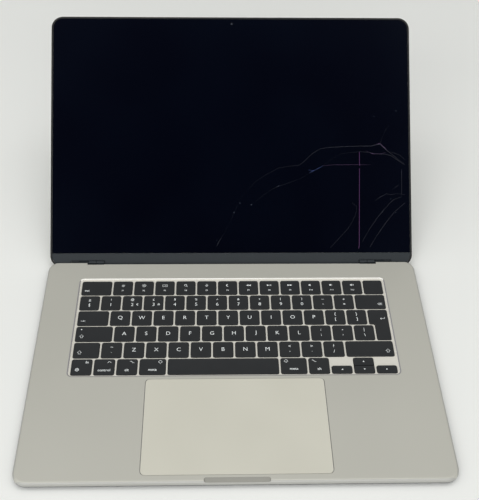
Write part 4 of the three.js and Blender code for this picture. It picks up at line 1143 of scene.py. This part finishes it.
def dish_depth(box, x, y):
    """How far the keycap's top lies below its edge at a point."""
    from_edge = min(x - box.left, box.right - x, y - box.front, box.rear - y) - KEY_EDGE
    share = min(max(from_edge / KEY_DISH_REACH, 0.0), 1.0)
    return KEY_DISH * (1 - (1 - share) ** 2)


def key_rings(outline_at):
    """Rings of a keycap: straight sides, a rounded top edge and a shallow dish."""
    rings = [(outline_at(0.0), KEY_BOTTOM)]
    for height in edge_heights(KEY_EDGE, LIP_STEPS + 1):
        rings.append((outline_at(edge_inset(KEY_EDGE, height)), KEY_TOP - height))
    for share in (0.12, 0.3, 0.55, 0.8, 1.0):
        dip = KEY_DISH * (1 - (1 - share) ** 2)
        rings.append((outline_at(KEY_EDGE + KEY_DISH_REACH * share), KEY_TOP - dip))
    return rings


def keycap_solid(box):
    reach = min(box.right - box.left, box.rear - box.front) / 2 - 0.3

    def outline_at(distance):
        distance = min(distance, reach)
        return rounded_box(inset(box, distance), KEY_RADIUS - distance * 0.6, SMALL_CORNER_STEPS)

    return layered(key_rings(outline_at))


def return_solid(moving):
    def outline_at(distance):
        radius = max(KEY_RADIUS - distance * 0.5, 0.3)
        return rounded(return_corners(moving, -distance), radius, SMALL_CORNER_STEPS)

    return layered(key_rings(outline_at))


def lay_on(solid, box, x, y):
    """Moves a legend to its place on a key, and lays it on the dished top."""
    points, faces = solid
    placed = []
    for px, py, pz in points:
        here_x, here_y = px + x, py + y
        placed.append((here_x, here_y, KEY_TOP - dish_depth(box, here_x, here_y) + pz))
    return placed, faces


def word_on(box, words, size, x, y):
    return lay_on(centred(text_solid(words, size)), box, x, y)


def symbol_on(box, name, x, y, width=LEGEND_STROKE, turn=0, scale=1.0):
    lines = SYMBOLS[name]
    cos, sin = scale * math.cos(math.radians(turn)), scale * math.sin(math.radians(turn))
    lines = [([(cos * px - sin * py, sin * px + cos * py) for px, py in points], closed)
             for points, closed in lines]
    return lay_on(symbol_solid(lines, width), box, x, y)


def carried_legend(box, legend):
    """The marks of a key in a row: a sign over its F number, a letter, or a mark with others round it."""
    x, y = (box.left + box.right) / 2, (box.front + box.rear) / 2
    if legend[0] == "F" and len(legend) > 1:
        return [symbol_on(box, legend, x, y + 2.8, 0.34, scale=1.4),
                word_on(box, legend, SMALL_SIZE, x, y - 3.2)]
    if len(legend) == 1:
        return [word_on(box, legend, LETTER_SIZE, x, y + 0.3)]
    if legend[0].isalnum():
        made = [word_on(box, legend[0], DIGIT_SIZE, x, y - 2.1),
                word_on(box, legend[1], SIGN_SIZE, x, y + 3.7)]
    else:
        made = [word_on(box, legend[0], MARK_SIZE, x, y - 2.6),
                word_on(box, legend[1], MARK_SIZE, x, y + 3.2)]
    if len(legend) > 2:
        made.append(word_on(box, legend[2], SIGN_SIZE, x + 4.6, y - 2.1))
    return made


def moving_legend(node, box):
    """The marks of a key with its own node, at the corner or the side where the print has them."""
    left, right = box.left + 3.6, box.right - 3.6
    x, y = (box.left + box.right) / 2, (box.front + box.rear) / 2
    low, high = y - 3.3, y + 5.0
    if node.startswith("key_arrow"):
        turn = {"left": 180, "right": 0, "up": 90, "down": -90}[node.rsplit("_", 1)[1]]
        return [symbol_on(box, "arrow", x, y, 0.4, turn)]
    # Name, place, width of the stroke and scale
    symbols = {
        "key_backspace": [("erase", right - 1.3, low + 0.6, 0.34, 1.15)],
        "key_tab": [("tab", left + 0.8, low, LEGEND_STROKE, 1.2)],
        "key_caps_lock": [("caps", left + 1.6, low + 0.5, 0.36, 1.3), ("dot", left + 0.9, high, 0.5, 1.0)],
        "key_shift_left": [("shift", left + 1.6, low + 0.7, 0.36, 1.35)],
        "key_shift_right": [("shift", right - 1.4, low + 0.7, 0.36, 1.35)],
        "key_return": [("return", right - 1.4, y + 7.2, 0.36, 1.3)],
        "key_fn": [("globe", left + 1.5, low + 0.6, 0.28, 1.15)],
        "key_control": [("caret", right - 0.9, high, 0.4, 1.7)],
        "key_alt_left": [("switch", right - 0.9, high, 0.4, 1.5)],
        "key_alt_right": [("switch", left + 0.9, high, 0.4, 1.5)],
        "key_meta_left": [("diamond", right - 0.9, high, 0.4, 1.5)],
        "key_meta_right": [("diamond", left + 0.9, high, 0.4, 1.5)],
    }
    # Word, size and place
    words = {
        "key_escape": ("esc", WORD_SIZE * 0.95, box.left + 5.0, low),
        "key_fn": ("fn", WORD_SIZE, right - 0.6, high),
        "key_control": ("control", WORD_SIZE, x, low),
        "key_alt_left": ("alt", WORD_SIZE, x, low),
        "key_alt_right": ("alt", WORD_SIZE, x, low),
        "key_meta_left": ("meta", WORD_SIZE, x, low),
        "key_meta_right": ("meta", WORD_SIZE, x, low),
    }
    made = [symbol_on(box, name, across, up, width, scale=scale)
            for name, across, up, width, scale in symbols.get(node, [])]
    if node in words:
        made.append(word_on(box, *words[node]))
    return made


def keys(moving, carried):
    """The moving keycaps, and the plate with the caps that it carries, each on a support."""
    for node, box in moving.items():
        solid = return_solid(moving) if node == "key_return" else keycap_solid(box)
        cap = as_object(f"{node}_cap", solid, BASE_PLACE)
        smooth(cap)
        finish_piece(cap, KEY_PLASTIC, node, [node])
        legend = moving_legend(node, box)
        if legend:
            mark = as_object(f"{node}_legend", together(legend), BASE_PLACE)
            finish_piece(mark, LEGEND_PAINT, node)
    plate_low, plate_high = base_box("keyboard_plate")
    plate_top = WEB_UNDER - PLATE_GAP
    half = KEY_SUPPORT_HALF
    solids = [block(Box(plate_low.x, plate_high.x, plate_low.y, plate_high.y), plate_low.z, plate_top)]
    for legend, box in carried:
        solids.append(keycap_solid(box))
        x, y = (box.left + box.right) / 2, (box.front + box.rear) / 2
        if legend in FINDER_KEYS:
            finder_front = y - FINDER_FROM_MIDDLE
            finder = Box(x - FINDER_HALF_LENGTH, x + FINDER_HALF_LENGTH, finder_front,
                         finder_front + FINDER_WIDTH)
            solids.append(prism(rounded_box(finder, 0.24, 4), KEY_BOTTOM + 0.2, KEY_TOP - 0.01))
        support = Box(x - half, x + half, y - half, y + half)
        solids.append(block(support, plate_top - KEY_SUPPORT_OVERLAP, KEY_BOTTOM + KEY_SUPPORT_OVERLAP))
    plate = as_object("keyboard_plate_with_caps", together(solids), BASE_PLACE)
    smooth(plate)
    finish_piece(plate, KEY_PLASTIC, "base", ["keyboard_plate"])
    marks = [solid for legend, box in carried for solid in carried_legend(box, legend)]
    finish_piece(as_object("keyboard_legends", together(marks), BASE_PLACE), LEGEND_PAINT, "base")


# Ports

def usb_port(node):
    """A drawn shell, open through the case wall, with a tongue for the plug."""
    low, high = base_box(node)
    middle_y, middle_z = (low.y + high.y) / 2, (low.z + high.z) / 2
    piece = as_object(f"{node}_shell", along_x(slot_outline(low, high, 0), low.x, high.x), BASE_PLACE)
    combine(piece, [along_x(slot_outline(low, high, -USB_WALL), low.x - CUT, high.x - CUT)], BASE_PLACE)
    section = Box(middle_y - USB_TONGUE_HALF_WIDTH, middle_y + USB_TONGUE_HALF_WIDTH,
                  middle_z - USB_TONGUE_HALF_HEIGHT, middle_z + USB_TONGUE_HALF_HEIGHT)
    tongue = along_x(rounded_box(section, 0.15, 3), low.x + USB_TONGUE_SET_IN, high.x - USB_TONGUE_END)
    combine(piece, [tongue], BASE_PLACE, "UNION")
    smooth(piece)
    finish_piece(piece, PAINTED_SHADE_PORT_STEEL, "base", [node])


def charge_port():
    """A shallow socket with five contacts in a row."""
    low, high = base_box("charge_port")
    middle_y, middle_z = (low.y + high.y) / 2, (low.z + high.z) / 2
    piece = as_object("charge_port_shell", along_x(slot_outline(low, high, 0), low.x, high.x), BASE_PLACE)
    socket = along_x(slot_outline(low, high, -CHARGE_WALL), low.x - CUT, low.x + CHARGE_DEPTH)
    combine(piece, [socket], BASE_PLACE)
    smooth(piece)
    finish_piece(piece, PAINTED_SHADE_PORT_STEEL, "base", ["charge_port"])
    pins = [along_x(circle(CONTACT_RADIUS, middle_y + CONTACT_PITCH * number, middle_z, 24),
                    low.x + CONTACT_SET_IN, low.x + CONTACT_END) for number in range(-2, 3)]
    contacts = as_object("charge_port_pins", together(pins), BASE_PLACE)
    smooth(contacts)
    finish_piece(contacts, GOLD, "base")


def audio_jack():
    """A moulded housing with a round collar in the case wall, bored for the plug."""
    y, z = jack_middle()
    low, high = base_box("audio_jack")
    housing = Box(low.x, high.x - JACK_COLLAR, y - JACK_HALF_DEPTH, y + JACK_HALF_DEPTH)
    piece = as_object("audio_jack_body", block(housing, z - JACK_BELOW, z + JACK_ABOVE), BASE_PLACE)
    collar = along_x(circle(JACK_RADIUS, y, z), housing.right - JACK_COLLAR_OVERLAP, high.x)
    combine(piece, [collar], BASE_PLACE, "UNION")
    bore = along_x(circle(JACK_BORE_RADIUS, y, z), high.x - JACK_BORE_DEPTH, high.x + CUT)
    combine(piece, [bore], BASE_PLACE)
    smooth(piece)
    finish_piece(piece, BLACK_PLASTIC, "base", ["audio_jack"])


# Hinge

def hinge_barrels():
    """The round knuckles that turn on the axis: the base's bored ones beside the lid's."""
    for side, name in ((-1, "left"), (1, "right")):
        low, high = base_box(f"hinge_bracket_{name}")
        outer = max(abs(low.x), abs(high.x))
        for body, place, axis, start in (("base", BASE_PLACE, (AXIS_Y, AXIS_Z), outer - BARREL_LENGTH),
                                         ("lid", LID_PLACE, (0.0, 0.0), outer + BARREL_GAP)):
            ends = sorted((side * start, side * (start + BARREL_LENGTH)))
            rod = along_x(circle(BARREL_RADIUS, *axis), *ends)
            barrel = as_object(f"hinge_barrel_{name}_{body}", rod, place)
            if body == "base":
                bore = along_x(circle(PIN_BORE_RADIUS, *axis), ends[0] - CUT, ends[1] + CUT)
                combine(barrel, [bore], place)
            smooth(barrel)
            finish_piece(barrel, LACQUERED_STEEL, body)


# Lid, drawn closed

LID_LOW, LID_HIGH = lid_box("lid_shell")
LID = plan_of((LID_LOW, LID_HIGH))
RIM_FACE = LID_LOW.z
LID_BACK = LID_HIGH.z
GLASS_LOW, GLASS_HIGH = lid_box("display_glass")
GASKET_LOW, GASKET_HIGH = lid_box("display_gasket")
LEDGE = GLASS_HIGH.z + GLUE_GAP


def lid_shell():
    """A milled shell with a ledge for the glass and a deep hollow behind it. Its thin rim carries a painted
    highlight.
    """
    heights = [(RIM_FACE + height, edge_inset(RIM_ROUNDING, height))
               for height in reversed(edge_heights(RIM_ROUNDING, LIP_STEPS + 1))]
    heights.append((LID_BACK - LID_EDGE_RADIUS, 0.0))
    heights += [(LID_BACK - height, edge_inset(LID_EDGE_RADIUS, height)) for height in
                edge_heights(LID_EDGE_RADIUS)[1:]]
    piece = as_object("lid_back_shell", layered(slab_rings(LID, CORNER_RADIUS, heights)), LID_PLACE)
    glazing = prism(rounded_box(inset(LID, LID_RIM), CORNER_RADIUS - LID_RIM), RIM_FACE - CUT, LEDGE)
    hollow_inset = LID_RIM + LEDGE_WIDTH
    hollow = prism(rounded_box(inset(LID, hollow_inset), CORNER_RADIUS - hollow_inset), RIM_FACE - CUT,
                   LID_BACK - LID_SKIN)
    combine(piece, [glazing, hollow], LID_PLACE)
    smooth(piece)
    finish_piece(piece, ALUMINIUM, "lid", ["lid_shell"])
    # The rim round the glass gets a painted highlight.
    piece.data.materials.append(PAINTED_HIGHLIGHT_EDGE)
    back = LID_PLACE.inverted()
    for face in piece.data.polygons:
        face.material_index = 1 if (back @ face.center).z < RIM_FACE + RIM_ROUNDING else 0


def display_gasket():
    """A soft ring round the glass, with a rounded lip that meets the deck when the lid is shut."""
    outer = inset(plan_of((GASKET_LOW, GASKET_HIGH)), -GASKET_GROWN)
    radius = CORNER_RADIUS - (outer.left - LID.left)
    rings = []
    for height in reversed(edge_heights(GASKET_LIP, LIP_STEPS)):
        edge = edge_inset(GASKET_LIP, height)
        rings.append((rounded_box(inset(outer, edge), radius - edge), GASKET_LOW.z + height))
    rings.append((rounded_box(outer, radius), GASKET_HIGH.z))
    piece = as_object("display_gasket_ring", layered(rings), LID_PLACE)
    inner = rounded_box(inset(outer, GASKET_WIDTH), radius - GASKET_WIDTH)
    combine(piece, [prism(inner, GASKET_LOW.z - CUT, GASKET_HIGH.z + CUT)], LID_PLACE)
    smooth(piece)
    finish_piece(piece, GASKET_RUBBER, "lid", ["display_gasket"])


def pane(name, rear, front):
    """A part of the glazing outline between two distances from the axis, with fine bevels."""
    outline = Box(GLASS_LOW.x, GLASS_HIGH.x, GLASS_LOW.y, LID.rear - (GLASS_LOW.x - LID.left))
    radius = CORNER_RADIUS - (outline.left - LID.left)
    rings = []
    for height in reversed(edge_heights(GLASS_BEVEL, LIP_STEPS)):
        edge = edge_inset(GLASS_BEVEL, height)
        rings.append((rounded_box(inset(outline, edge), radius - edge), GLASS_LOW.z + height))
    rings.append((rounded_box(outline, radius), GLASS_HIGH.z))
    piece = as_object(name, layered(rings), LID_PLACE)
    wide = Box(LID.left - CUT, LID.right + CUT, LID.front - CUT, LID.rear + CUT)
    combine(piece, [
        block(wide._replace(rear=front), GLASS_LOW.z - CUT, GLASS_HIGH.z + CUT),
        block(wide._replace(front=rear), GLASS_LOW.z - CUT, GLASS_HIGH.z + CUT),
    ], LID_PLACE)
    return piece


def display_glass():
    """The cover glass, from the strip under it to the top of the lid."""
    piece = pane("display_cover_glass", GLASS_HIGH.y, GLASS_LOW.y - CUT)
    smooth(piece)
    finish_piece(piece, DISPLAY_GLASS, "lid", ["display_glass"])


def hinge_cover():
    """The plastic strip under the glass, with a shoulder, a groove and a slot where each hinge turns."""
    low, high = lid_box("hinge_cover")
    piece = pane("hinge_cover_strip", high.y + CUT, low.y)
    shoulders, grooves, slots = [], [], []
    for side, name in ((-1, "left"), (1, "right")):
        bracket_low, bracket_high = base_box(f"hinge_bracket_{name}")
        arm_low, arm_high = lid_box(f"hinge_arm_{name}")
        start = max(abs(bracket_low.x), abs(bracket_high.x)) - BARREL_LENGTH
        end = max(abs(arm_low.x), abs(arm_high.x))
        ends = sorted((side * (start - KNUCKLE_CLEARANCE), side * (end + KNUCKLE_CLEARANCE)))
        shoulders.append(block(Box(*ends, -BARREL_RADIUS, 0.0), 0.0, low.z + SHOULDER_OVERLAP))
        grooves.append(along_x(circle(BARREL_RADIUS + KNUCKLE_CLEARANCE), ends[0] - CUT, ends[1] + CUT))
        near, far = sorted((side * (end + ARM_CLEARANCE), side * (end - BARREL_LENGTH - ARM_CLEARANCE)))
        half_slot = BARREL_RADIUS - 0.1
        slots.append(block(Box(near, far, -half_slot, half_slot), 0, high.z + CUT))
    combine(piece, [together(shoulders)], LID_PLACE, "UNION")
    combine(piece, [together(grooves), together(slots)], LID_PLACE)
    smooth(piece)
    finish_piece(piece, HINGE_PLASTIC, "lid", ["hinge_cover"])


# Damage in the display, in millimetres. Each crack is a line of listed points: how far across from the
# middle, how far up from the hinge axis, and how wide it gapes there. A hairline catches less light than an
# open crack.

CRACKS = {
    "crack_low_start": [
        (-14.6, 14.8, 0.18), (-12.4, 19.0, 0.36), (-9.5, 23.5, 0.06), (-3, 35, 0.03), (1.9, 46, 0.08)],
    "crack_main": [
        (2.1, 46.4, 0.06), (7.6, 59.7, 0.04), (22, 75.6, 0.06), (30.8, 81.4, 0.08), (43.8, 88.6, 0.11),
        (52.5, 90.1, 0.11), (64.1, 91.5, 0.15), (68.4, 95.1, 0.24), (77.2, 103.1, 0.24), (84.4, 107.2, 0.24),
        (91.7, 108.3, 0.26), (112, 109.4, 0.34), (132.3, 109.7, 0.4), (138, 111, 0.68), (141.1, 111.6, 0.81),
        (146.8, 106.1, 0.45), (152.6, 101.2, 0.41), (158.3, 96.6, 0.34), (164.1, 92.2, 0.22)],
    "crack_upper_branch": [
        (141.1, 111.4, 0.11), (142.7, 117.7, 0.08), (146.4, 125, 0.07), (150.1, 129.8, 0.03)],
    "crack_second": [
        (18.3, 54, 0.05), (29.2, 62.6, 0.05), (36.4, 67.7, 0.06), (43.7, 71.5, 0.19), (52.4, 74.1, 0.11),
        (62.5, 77.8, 0.06), (69.7, 81.4, 0.05), (78.5, 86.4, 0.12), (85.7, 90.8, 0.07), (95.9, 98, 0.05),
        (103.2, 102, 0.05), (112, 103.4, 0.06), (122.1, 104.3, 0.17), (130.8, 103.6, 0.3),
        (136.6, 102.1, 0.26), (145.3, 102, 0.3), (151.1, 100.5, 0.33), (156.9, 96.6, 0.3), (163.5, 92, 0.15)],
    "crack_edge_upper": [(150.5, 104, 0.1), (154.1, 103.1, 0.24), (159.8, 100.9, 0.21), (164.2, 96.6, 0.1)],
    "crack_edge_drop": [(161.2, 87.1, 0.24), (161.1, 75, 0.31), (160.9, 63.9, 0.24)],
    "crack_edge_chip": [(152.2, 68.2, 0.06), (156, 71.2, 0.2), (158.6, 72.6, 0.06)],
    "crack_right_hook": [
        (135.4, 57.4, 0.1), (140.4, 61, 0.24), (146.3, 64.2, 0.2), (151, 63.2, 0.16), (156, 64.2, 0.08),
        (163.7, 63.4, 0.16)],
    "crack_low_inner": [
        (160.8, 61.4, 0.15), (152.8, 58.4, 0.28), (146.1, 51.6, 0.25), (141.8, 46.5, 0.33),
        (135.9, 39.3, 0.25), (130, 30.6, 0.19), (122.7, 18.4, 0.14)],
    "crack_low_outer": [
        (163.6, 55.1, 0.22), (159.2, 51.5, 0.18), (153.4, 46.5, 0.3), (147.5, 39.3, 0.26), (141.6, 31.3, 0.3),
        (135.7, 22.7, 0.26), (130.1, 13.6, 0.21)],
    "crack_low_left": [
        (114, 55.5, 0.19), (117.9, 52.4, 0.17), (117.6, 48, 0.07), (116.4, 43.6, 0.14), (113.4, 37.2, 0.17),
        (109, 30.7, 0.18), (102.4, 23.5, 0.17), (93, 13.4, 0.13)],
}
TINTED_CRACKS = {
    "crack_level": [
        (86, 90.9, 0.12), (97.3, 91.8, 0.2), (106, 91.7, 0.2), (118, 91.9, 0.18), (132, 91.7, 0.08)],
    "crack_knot": [
        (136, 110.8, 0.17), (139, 111.7, 0.42), (141.1, 112.0, 0.68), (144, 109.2, 0.42),
        (147, 106.4, 0.17)],
    "crack_pink_edge": [(127, 105.2, 0.12), (133, 102.4, 0.34), (141, 102.2, 0.29), (146, 103.4, 0.12)],
}
BLUE_CRACKS = {
    "crack_blue_end": [
        (73.5, 84.2, 0.11), (77, 86.2, 0.39), (80, 87.4, 0.28), (84, 89.6, 0.22), (86, 90.9, 0.11)],
    "crack_blue_spur": [(72.4, 86.9, 0.1), (75, 86.7, 0.3), (77, 85.6, 0.3)],
}
# Small pits where the glass has crushed: across, up and size
CHIPS = [(1.9, 46.6, 0.75), (7.6, 55.4, 0.6), (18.3, 54.0, 0.85), (43.9, 71.6, 0.8), (-14.4, 20.5, 0.45),
         (150.5, 59.2, 0.5), (142.4, 46.9, 0.7), (155.0, 46.2, 0.6), (135.6, 138, 0.6),
         (156.5, 143.5, 0.5), (-13.3, 17.2, 0.5)]
# The lit pixels: upper and lower end of each stretch, across and up
LIT_SPANS = [((121.1, 104.1), (121.0, 90.8)), ((121.0, 88.3), (120.0, 15.5)), ((120.0, 15.5), (119.5, 12.4))]


def spaced(points, step):
    """Points at even steps along a bent line, with the numbers that each carries."""
    placed = []
    for start, end in zip(points, points[1:]):
        start, end = Vector(start), Vector(end)
        count = max(1, round((end - start).to_2d().length / step))
        placed.extend(start.lerp(end, number / count) for number in range(count))
    return placed + [Vector(points[-1])]


def sliver(points, widths, rise=CRACK_RISE):
    """A thin closed ridge along a line in the glass, which rises just out of its face."""
    rings = []
    for number, point in enumerate(points):
        before, after = points[max(number - 1, 0)], points[min(number + 1, len(points) - 1)]
        along = (after - before).normalized()
        across = Vector((-along.y, along.x)) * (widths[number] / 2)
        left, right = point - across, point + across
        face = GLASS_LOW.z
        rings.append([(left.x, -left.y, face - CRACK_LIP), (point.x, -point.y, face - rise),
                      (right.x, -right.y, face - CRACK_LIP), (point.x, -point.y, face + CRACK_SINK)])
    vertices = [corner for ring in rings for corner in ring]
    faces = [[0, 1, 2, 3], [len(vertices) - 1 - corner for corner in range(4)]]
    for ring in range(len(rings) - 1):
        for corner in range(4):
            after = (corner + 1) % 4
            faces.append([ring * 4 + corner, ring * 4 + after, ring * 4 + 4 + after, ring * 4 + 4 + corner])
    return vertices, faces


def cracks():
    """The cracks, each wandering a little from its line, and the pits where the glass has crushed."""
    chance = random.Random(7)
    for lines, material in (
            (CRACKS, FRACTURE), (TINTED_CRACKS, TINTED_FRACTURE), (BLUE_CRACKS, BLUE_FRACTURE)):
        for name, line in lines.items():
            points = spaced(line, CRACK_STEP)
            for point in points[1:-1]:
                point.x += chance.uniform(-CRACK_WANDER, CRACK_WANDER)
                point.y += chance.uniform(-CRACK_WANDER, CRACK_WANDER)
            widths = [point.z * chance.uniform(0.75, 1.25) for point in points]
            ridge = sliver([point.to_2d() for point in points], widths)
            finish_piece(as_object(name, ridge, LID_PLACE), material, "lid")
    pits = [sliver([Vector((x - size / 2, up)), Vector((x, up)), Vector((x + size / 2, up))],
                   [size * 0.3, size, size * 0.3]) for x, up, size in CHIPS]
    finish_piece(as_object("crushed_glass_pits", together(pits), LID_PLACE), BRIGHT_FRACTURE, "lid")


def pixel_line():
    """A column of pixels that stays lit, broken once where a crack crosses it."""
    solids = []
    for top, bottom in LIT_SPANS:
        points = [point.to_2d() for point in spaced([(*top, 0), (*bottom, 0)], PIXEL_STEP)]
        solids.append(sliver(points, [PIXEL_WIDTH] * len(points), PIXEL_RISE))
    finish_piece(as_object("lit_pixel_column", together(solids), LID_PLACE), PIXEL_LINE, "lid")


def camera_window():
    """The small camera at the top of the display: a dark ring round a slightly paler, crowned lens."""
    face, back = GLASS_LOW.z, GLASS_LOW.z + LENS_DEPTH
    radius = LENS_WINDOW_RADIUS
    ring = lathe([(0, back), (radius, back), (radius, face - 0.004), (0.8, face - 0.008), (0, face - 0.008)])
    radius = LENS_RADIUS
    lens = lathe([(0, back), (radius, back), (radius, face - 0.01), (0.4, face - 0.014), (0, face - 0.016)])
    for name, solid, material in (("camera_ring", ring, CAMERA_RING), ("camera_lens", lens, CAMERA_LENS)):
        finish_piece(as_object(name, moved(solid, LENS_X, LENS_Y), LID_PLACE), material, "lid")


def carried_over():
    """The inner and small nodes whose shape is right get their real finishes."""
    finishes = {
        BLACK_PLASTIC: ("antenna_bar", "speaker_left", "speaker_right", "display_panel", "camera_module"),
        STEEL: ("trackpad_frame",),
        LACQUERED_STEEL: ("hinge_bracket_left", "hinge_bracket_right", "hinge_arm_left", "hinge_arm_right"),
        INNER_ALUMINIUM: ("heat_spreader",),
        SOLDER_MASK: ("logic_board", "display_board"),
        CELL_FILM: ("battery_left", "battery_centre", "battery_right"),
        FLEX_FILM: ("display_flex",),
    }
    for material, nodes in finishes.items():
        for node in nodes:
            mesh = frame["nodes"][node].data
            mesh.materials.clear()
            mesh.materials.append(material)


# Stage, light and camera

FLOOR_HALF = 4.0
FLOOR_DROP = 0.0002


def stage():
    """A plain pale floor, a hair under the feet."""
    floor_box = Box(-FLOOR_HALF, FLOOR_HALF, -FLOOR_HALF, FLOOR_HALF)
    mesh = bpy.data.meshes.new("floor")
    mesh.from_pydata([(x, y, 0) for x, y in corners_of(floor_box)], [], [[0, 1, 2, 3]])
    floor = bpy.data.objects.new("floor", mesh)
    floor.location.z = -FLOOR_DROP
    mesh.materials.append(painted_table())
    bpy.context.scene.collection.objects.link(floor)


def world():
    """A pale room that darkens over and behind the camera, where the open display mirrors it."""
    made = bpy.data.worlds.new("pale_room")
    bpy.context.scene.world = made
    made.use_nodes = True
    tree = made.node_tree
    tree.nodes.clear()
    place = add_node(tree, "ShaderNodeTexCoord")
    # How nearly a direction points to the dark zone, from 0 at right angles to it to 1 at its middle
    toward = add_node(tree, "ShaderNodeVectorMath", {"operation": "DOT_PRODUCT"})
    tree.links.new(place.outputs["Generated"], toward.inputs[0])
    toward.inputs[1].default_value = Vector((0.0, -0.6, 0.8))
    zone = add_node(
        tree, "ShaderNodeValToRGB",
        stops=[(0.0, "#A4A4A2"), (0.45, "#FAFAF8"), (0.9, "#FAFAF8"), (0.945, "#8A909C"),
               (0.968, "#566076"), (0.995, "#20242E")],
        Fac=toward.outputs["Value"])
    room = add_node(tree, "ShaderNodeBackground", {"Strength": 0.84}, Color=zone.outputs["Color"])
    # The camera itself sees a plain pale backdrop, and the object is lit by the room.
    seen = add_node(tree, "ShaderNodeBackground", {"Color": linear("#E4E5E1"), "Strength": 1.0})
    ray = add_node(tree, "ShaderNodeLightPath")
    mix = add_node(tree, "ShaderNodeMixShader")
    tree.links.new(ray.outputs["Is Camera Ray"], mix.inputs[0])
    tree.links.new(room.outputs["Background"], mix.inputs[1])
    tree.links.new(seen.outputs["Background"], mix.inputs[2])
    output = add_node(tree, "ShaderNodeOutputWorld")
    tree.links.new(mix.outputs["Shader"], output.inputs["Surface"])


def soft_light(name, place, width, height, power):
    """A rectangular softbox that faces the middle of the table."""
    lamp = bpy.data.lights.new(name, "AREA")
    lamp.shape = "RECTANGLE"
    lamp.size, lamp.size_y = width, height
    lamp.energy = power
    holder = bpy.data.objects.new(name, lamp)
    holder.location = place
    holder.rotation_euler = (-Vector(place)).to_track_quat("-Z", "Y").to_euler()
    bpy.context.scene.collection.objects.link(holder)


def lights():
    """A weak lamp from above for the deck and a broad one in front for the keys and the floor."""
    soft_light("softbox_above", (0.0, 0.0, 2.2), width=2.2, height=0.8, power=10)
    soft_light("softbox_front", (-0.45, -2.4, 1.65), width=3.6, height=1.2, power=46)


def camera():
    """The camera of the photo, turned by its three fitted angles."""
    yaw, pitch, roll = (math.radians(angle) for angle in (CAMERA_YAW, CAMERA_PITCH, CAMERA_ROLL))
    forward = Vector((math.sin(yaw) * math.cos(pitch), math.cos(yaw) * math.cos(pitch), -math.sin(pitch)))
    level_right = Vector((math.cos(yaw), -math.sin(yaw), 0))
    level_up = level_right.cross(forward)
    right = math.cos(roll) * level_right + math.sin(roll) * level_up
    up = math.cos(roll) * level_up - math.sin(roll) * level_right
    data = bpy.data.cameras.new("photo_camera")
    data.sensor_width = SENSOR_MM
    data.lens = FOCAL_PX * SENSOR_MM / FRAME_HEIGHT_PX
    holder = bpy.data.objects.new("photo_camera", data)
    turn = Matrix((right, up, -forward)).transposed().to_4x4()
    holder.matrix_world = Matrix.Translation(CAMERA_PLACE) @ turn
    bpy.context.scene.collection.objects.link(holder)
    bpy.context.scene.camera = holder


camera()
lights()
world()
stage()
moving_keys, carried_keys = key_outlines()
top_case(moving_keys, carried_keys)
bottom_cover()
cover_screws()
feet()
trackpad()
keys(moving_keys, carried_keys)
usb_port("usb_port_rear")
usb_port("usb_port_front")
charge_port()
audio_jack()
hinge_barrels()
lid_shell()
display_gasket()
display_glass()
hinge_cover()
cracks()
pixel_line()
camera_window()
carried_over()
bpy.context.scene.view_settings.view_transform = "Standard"
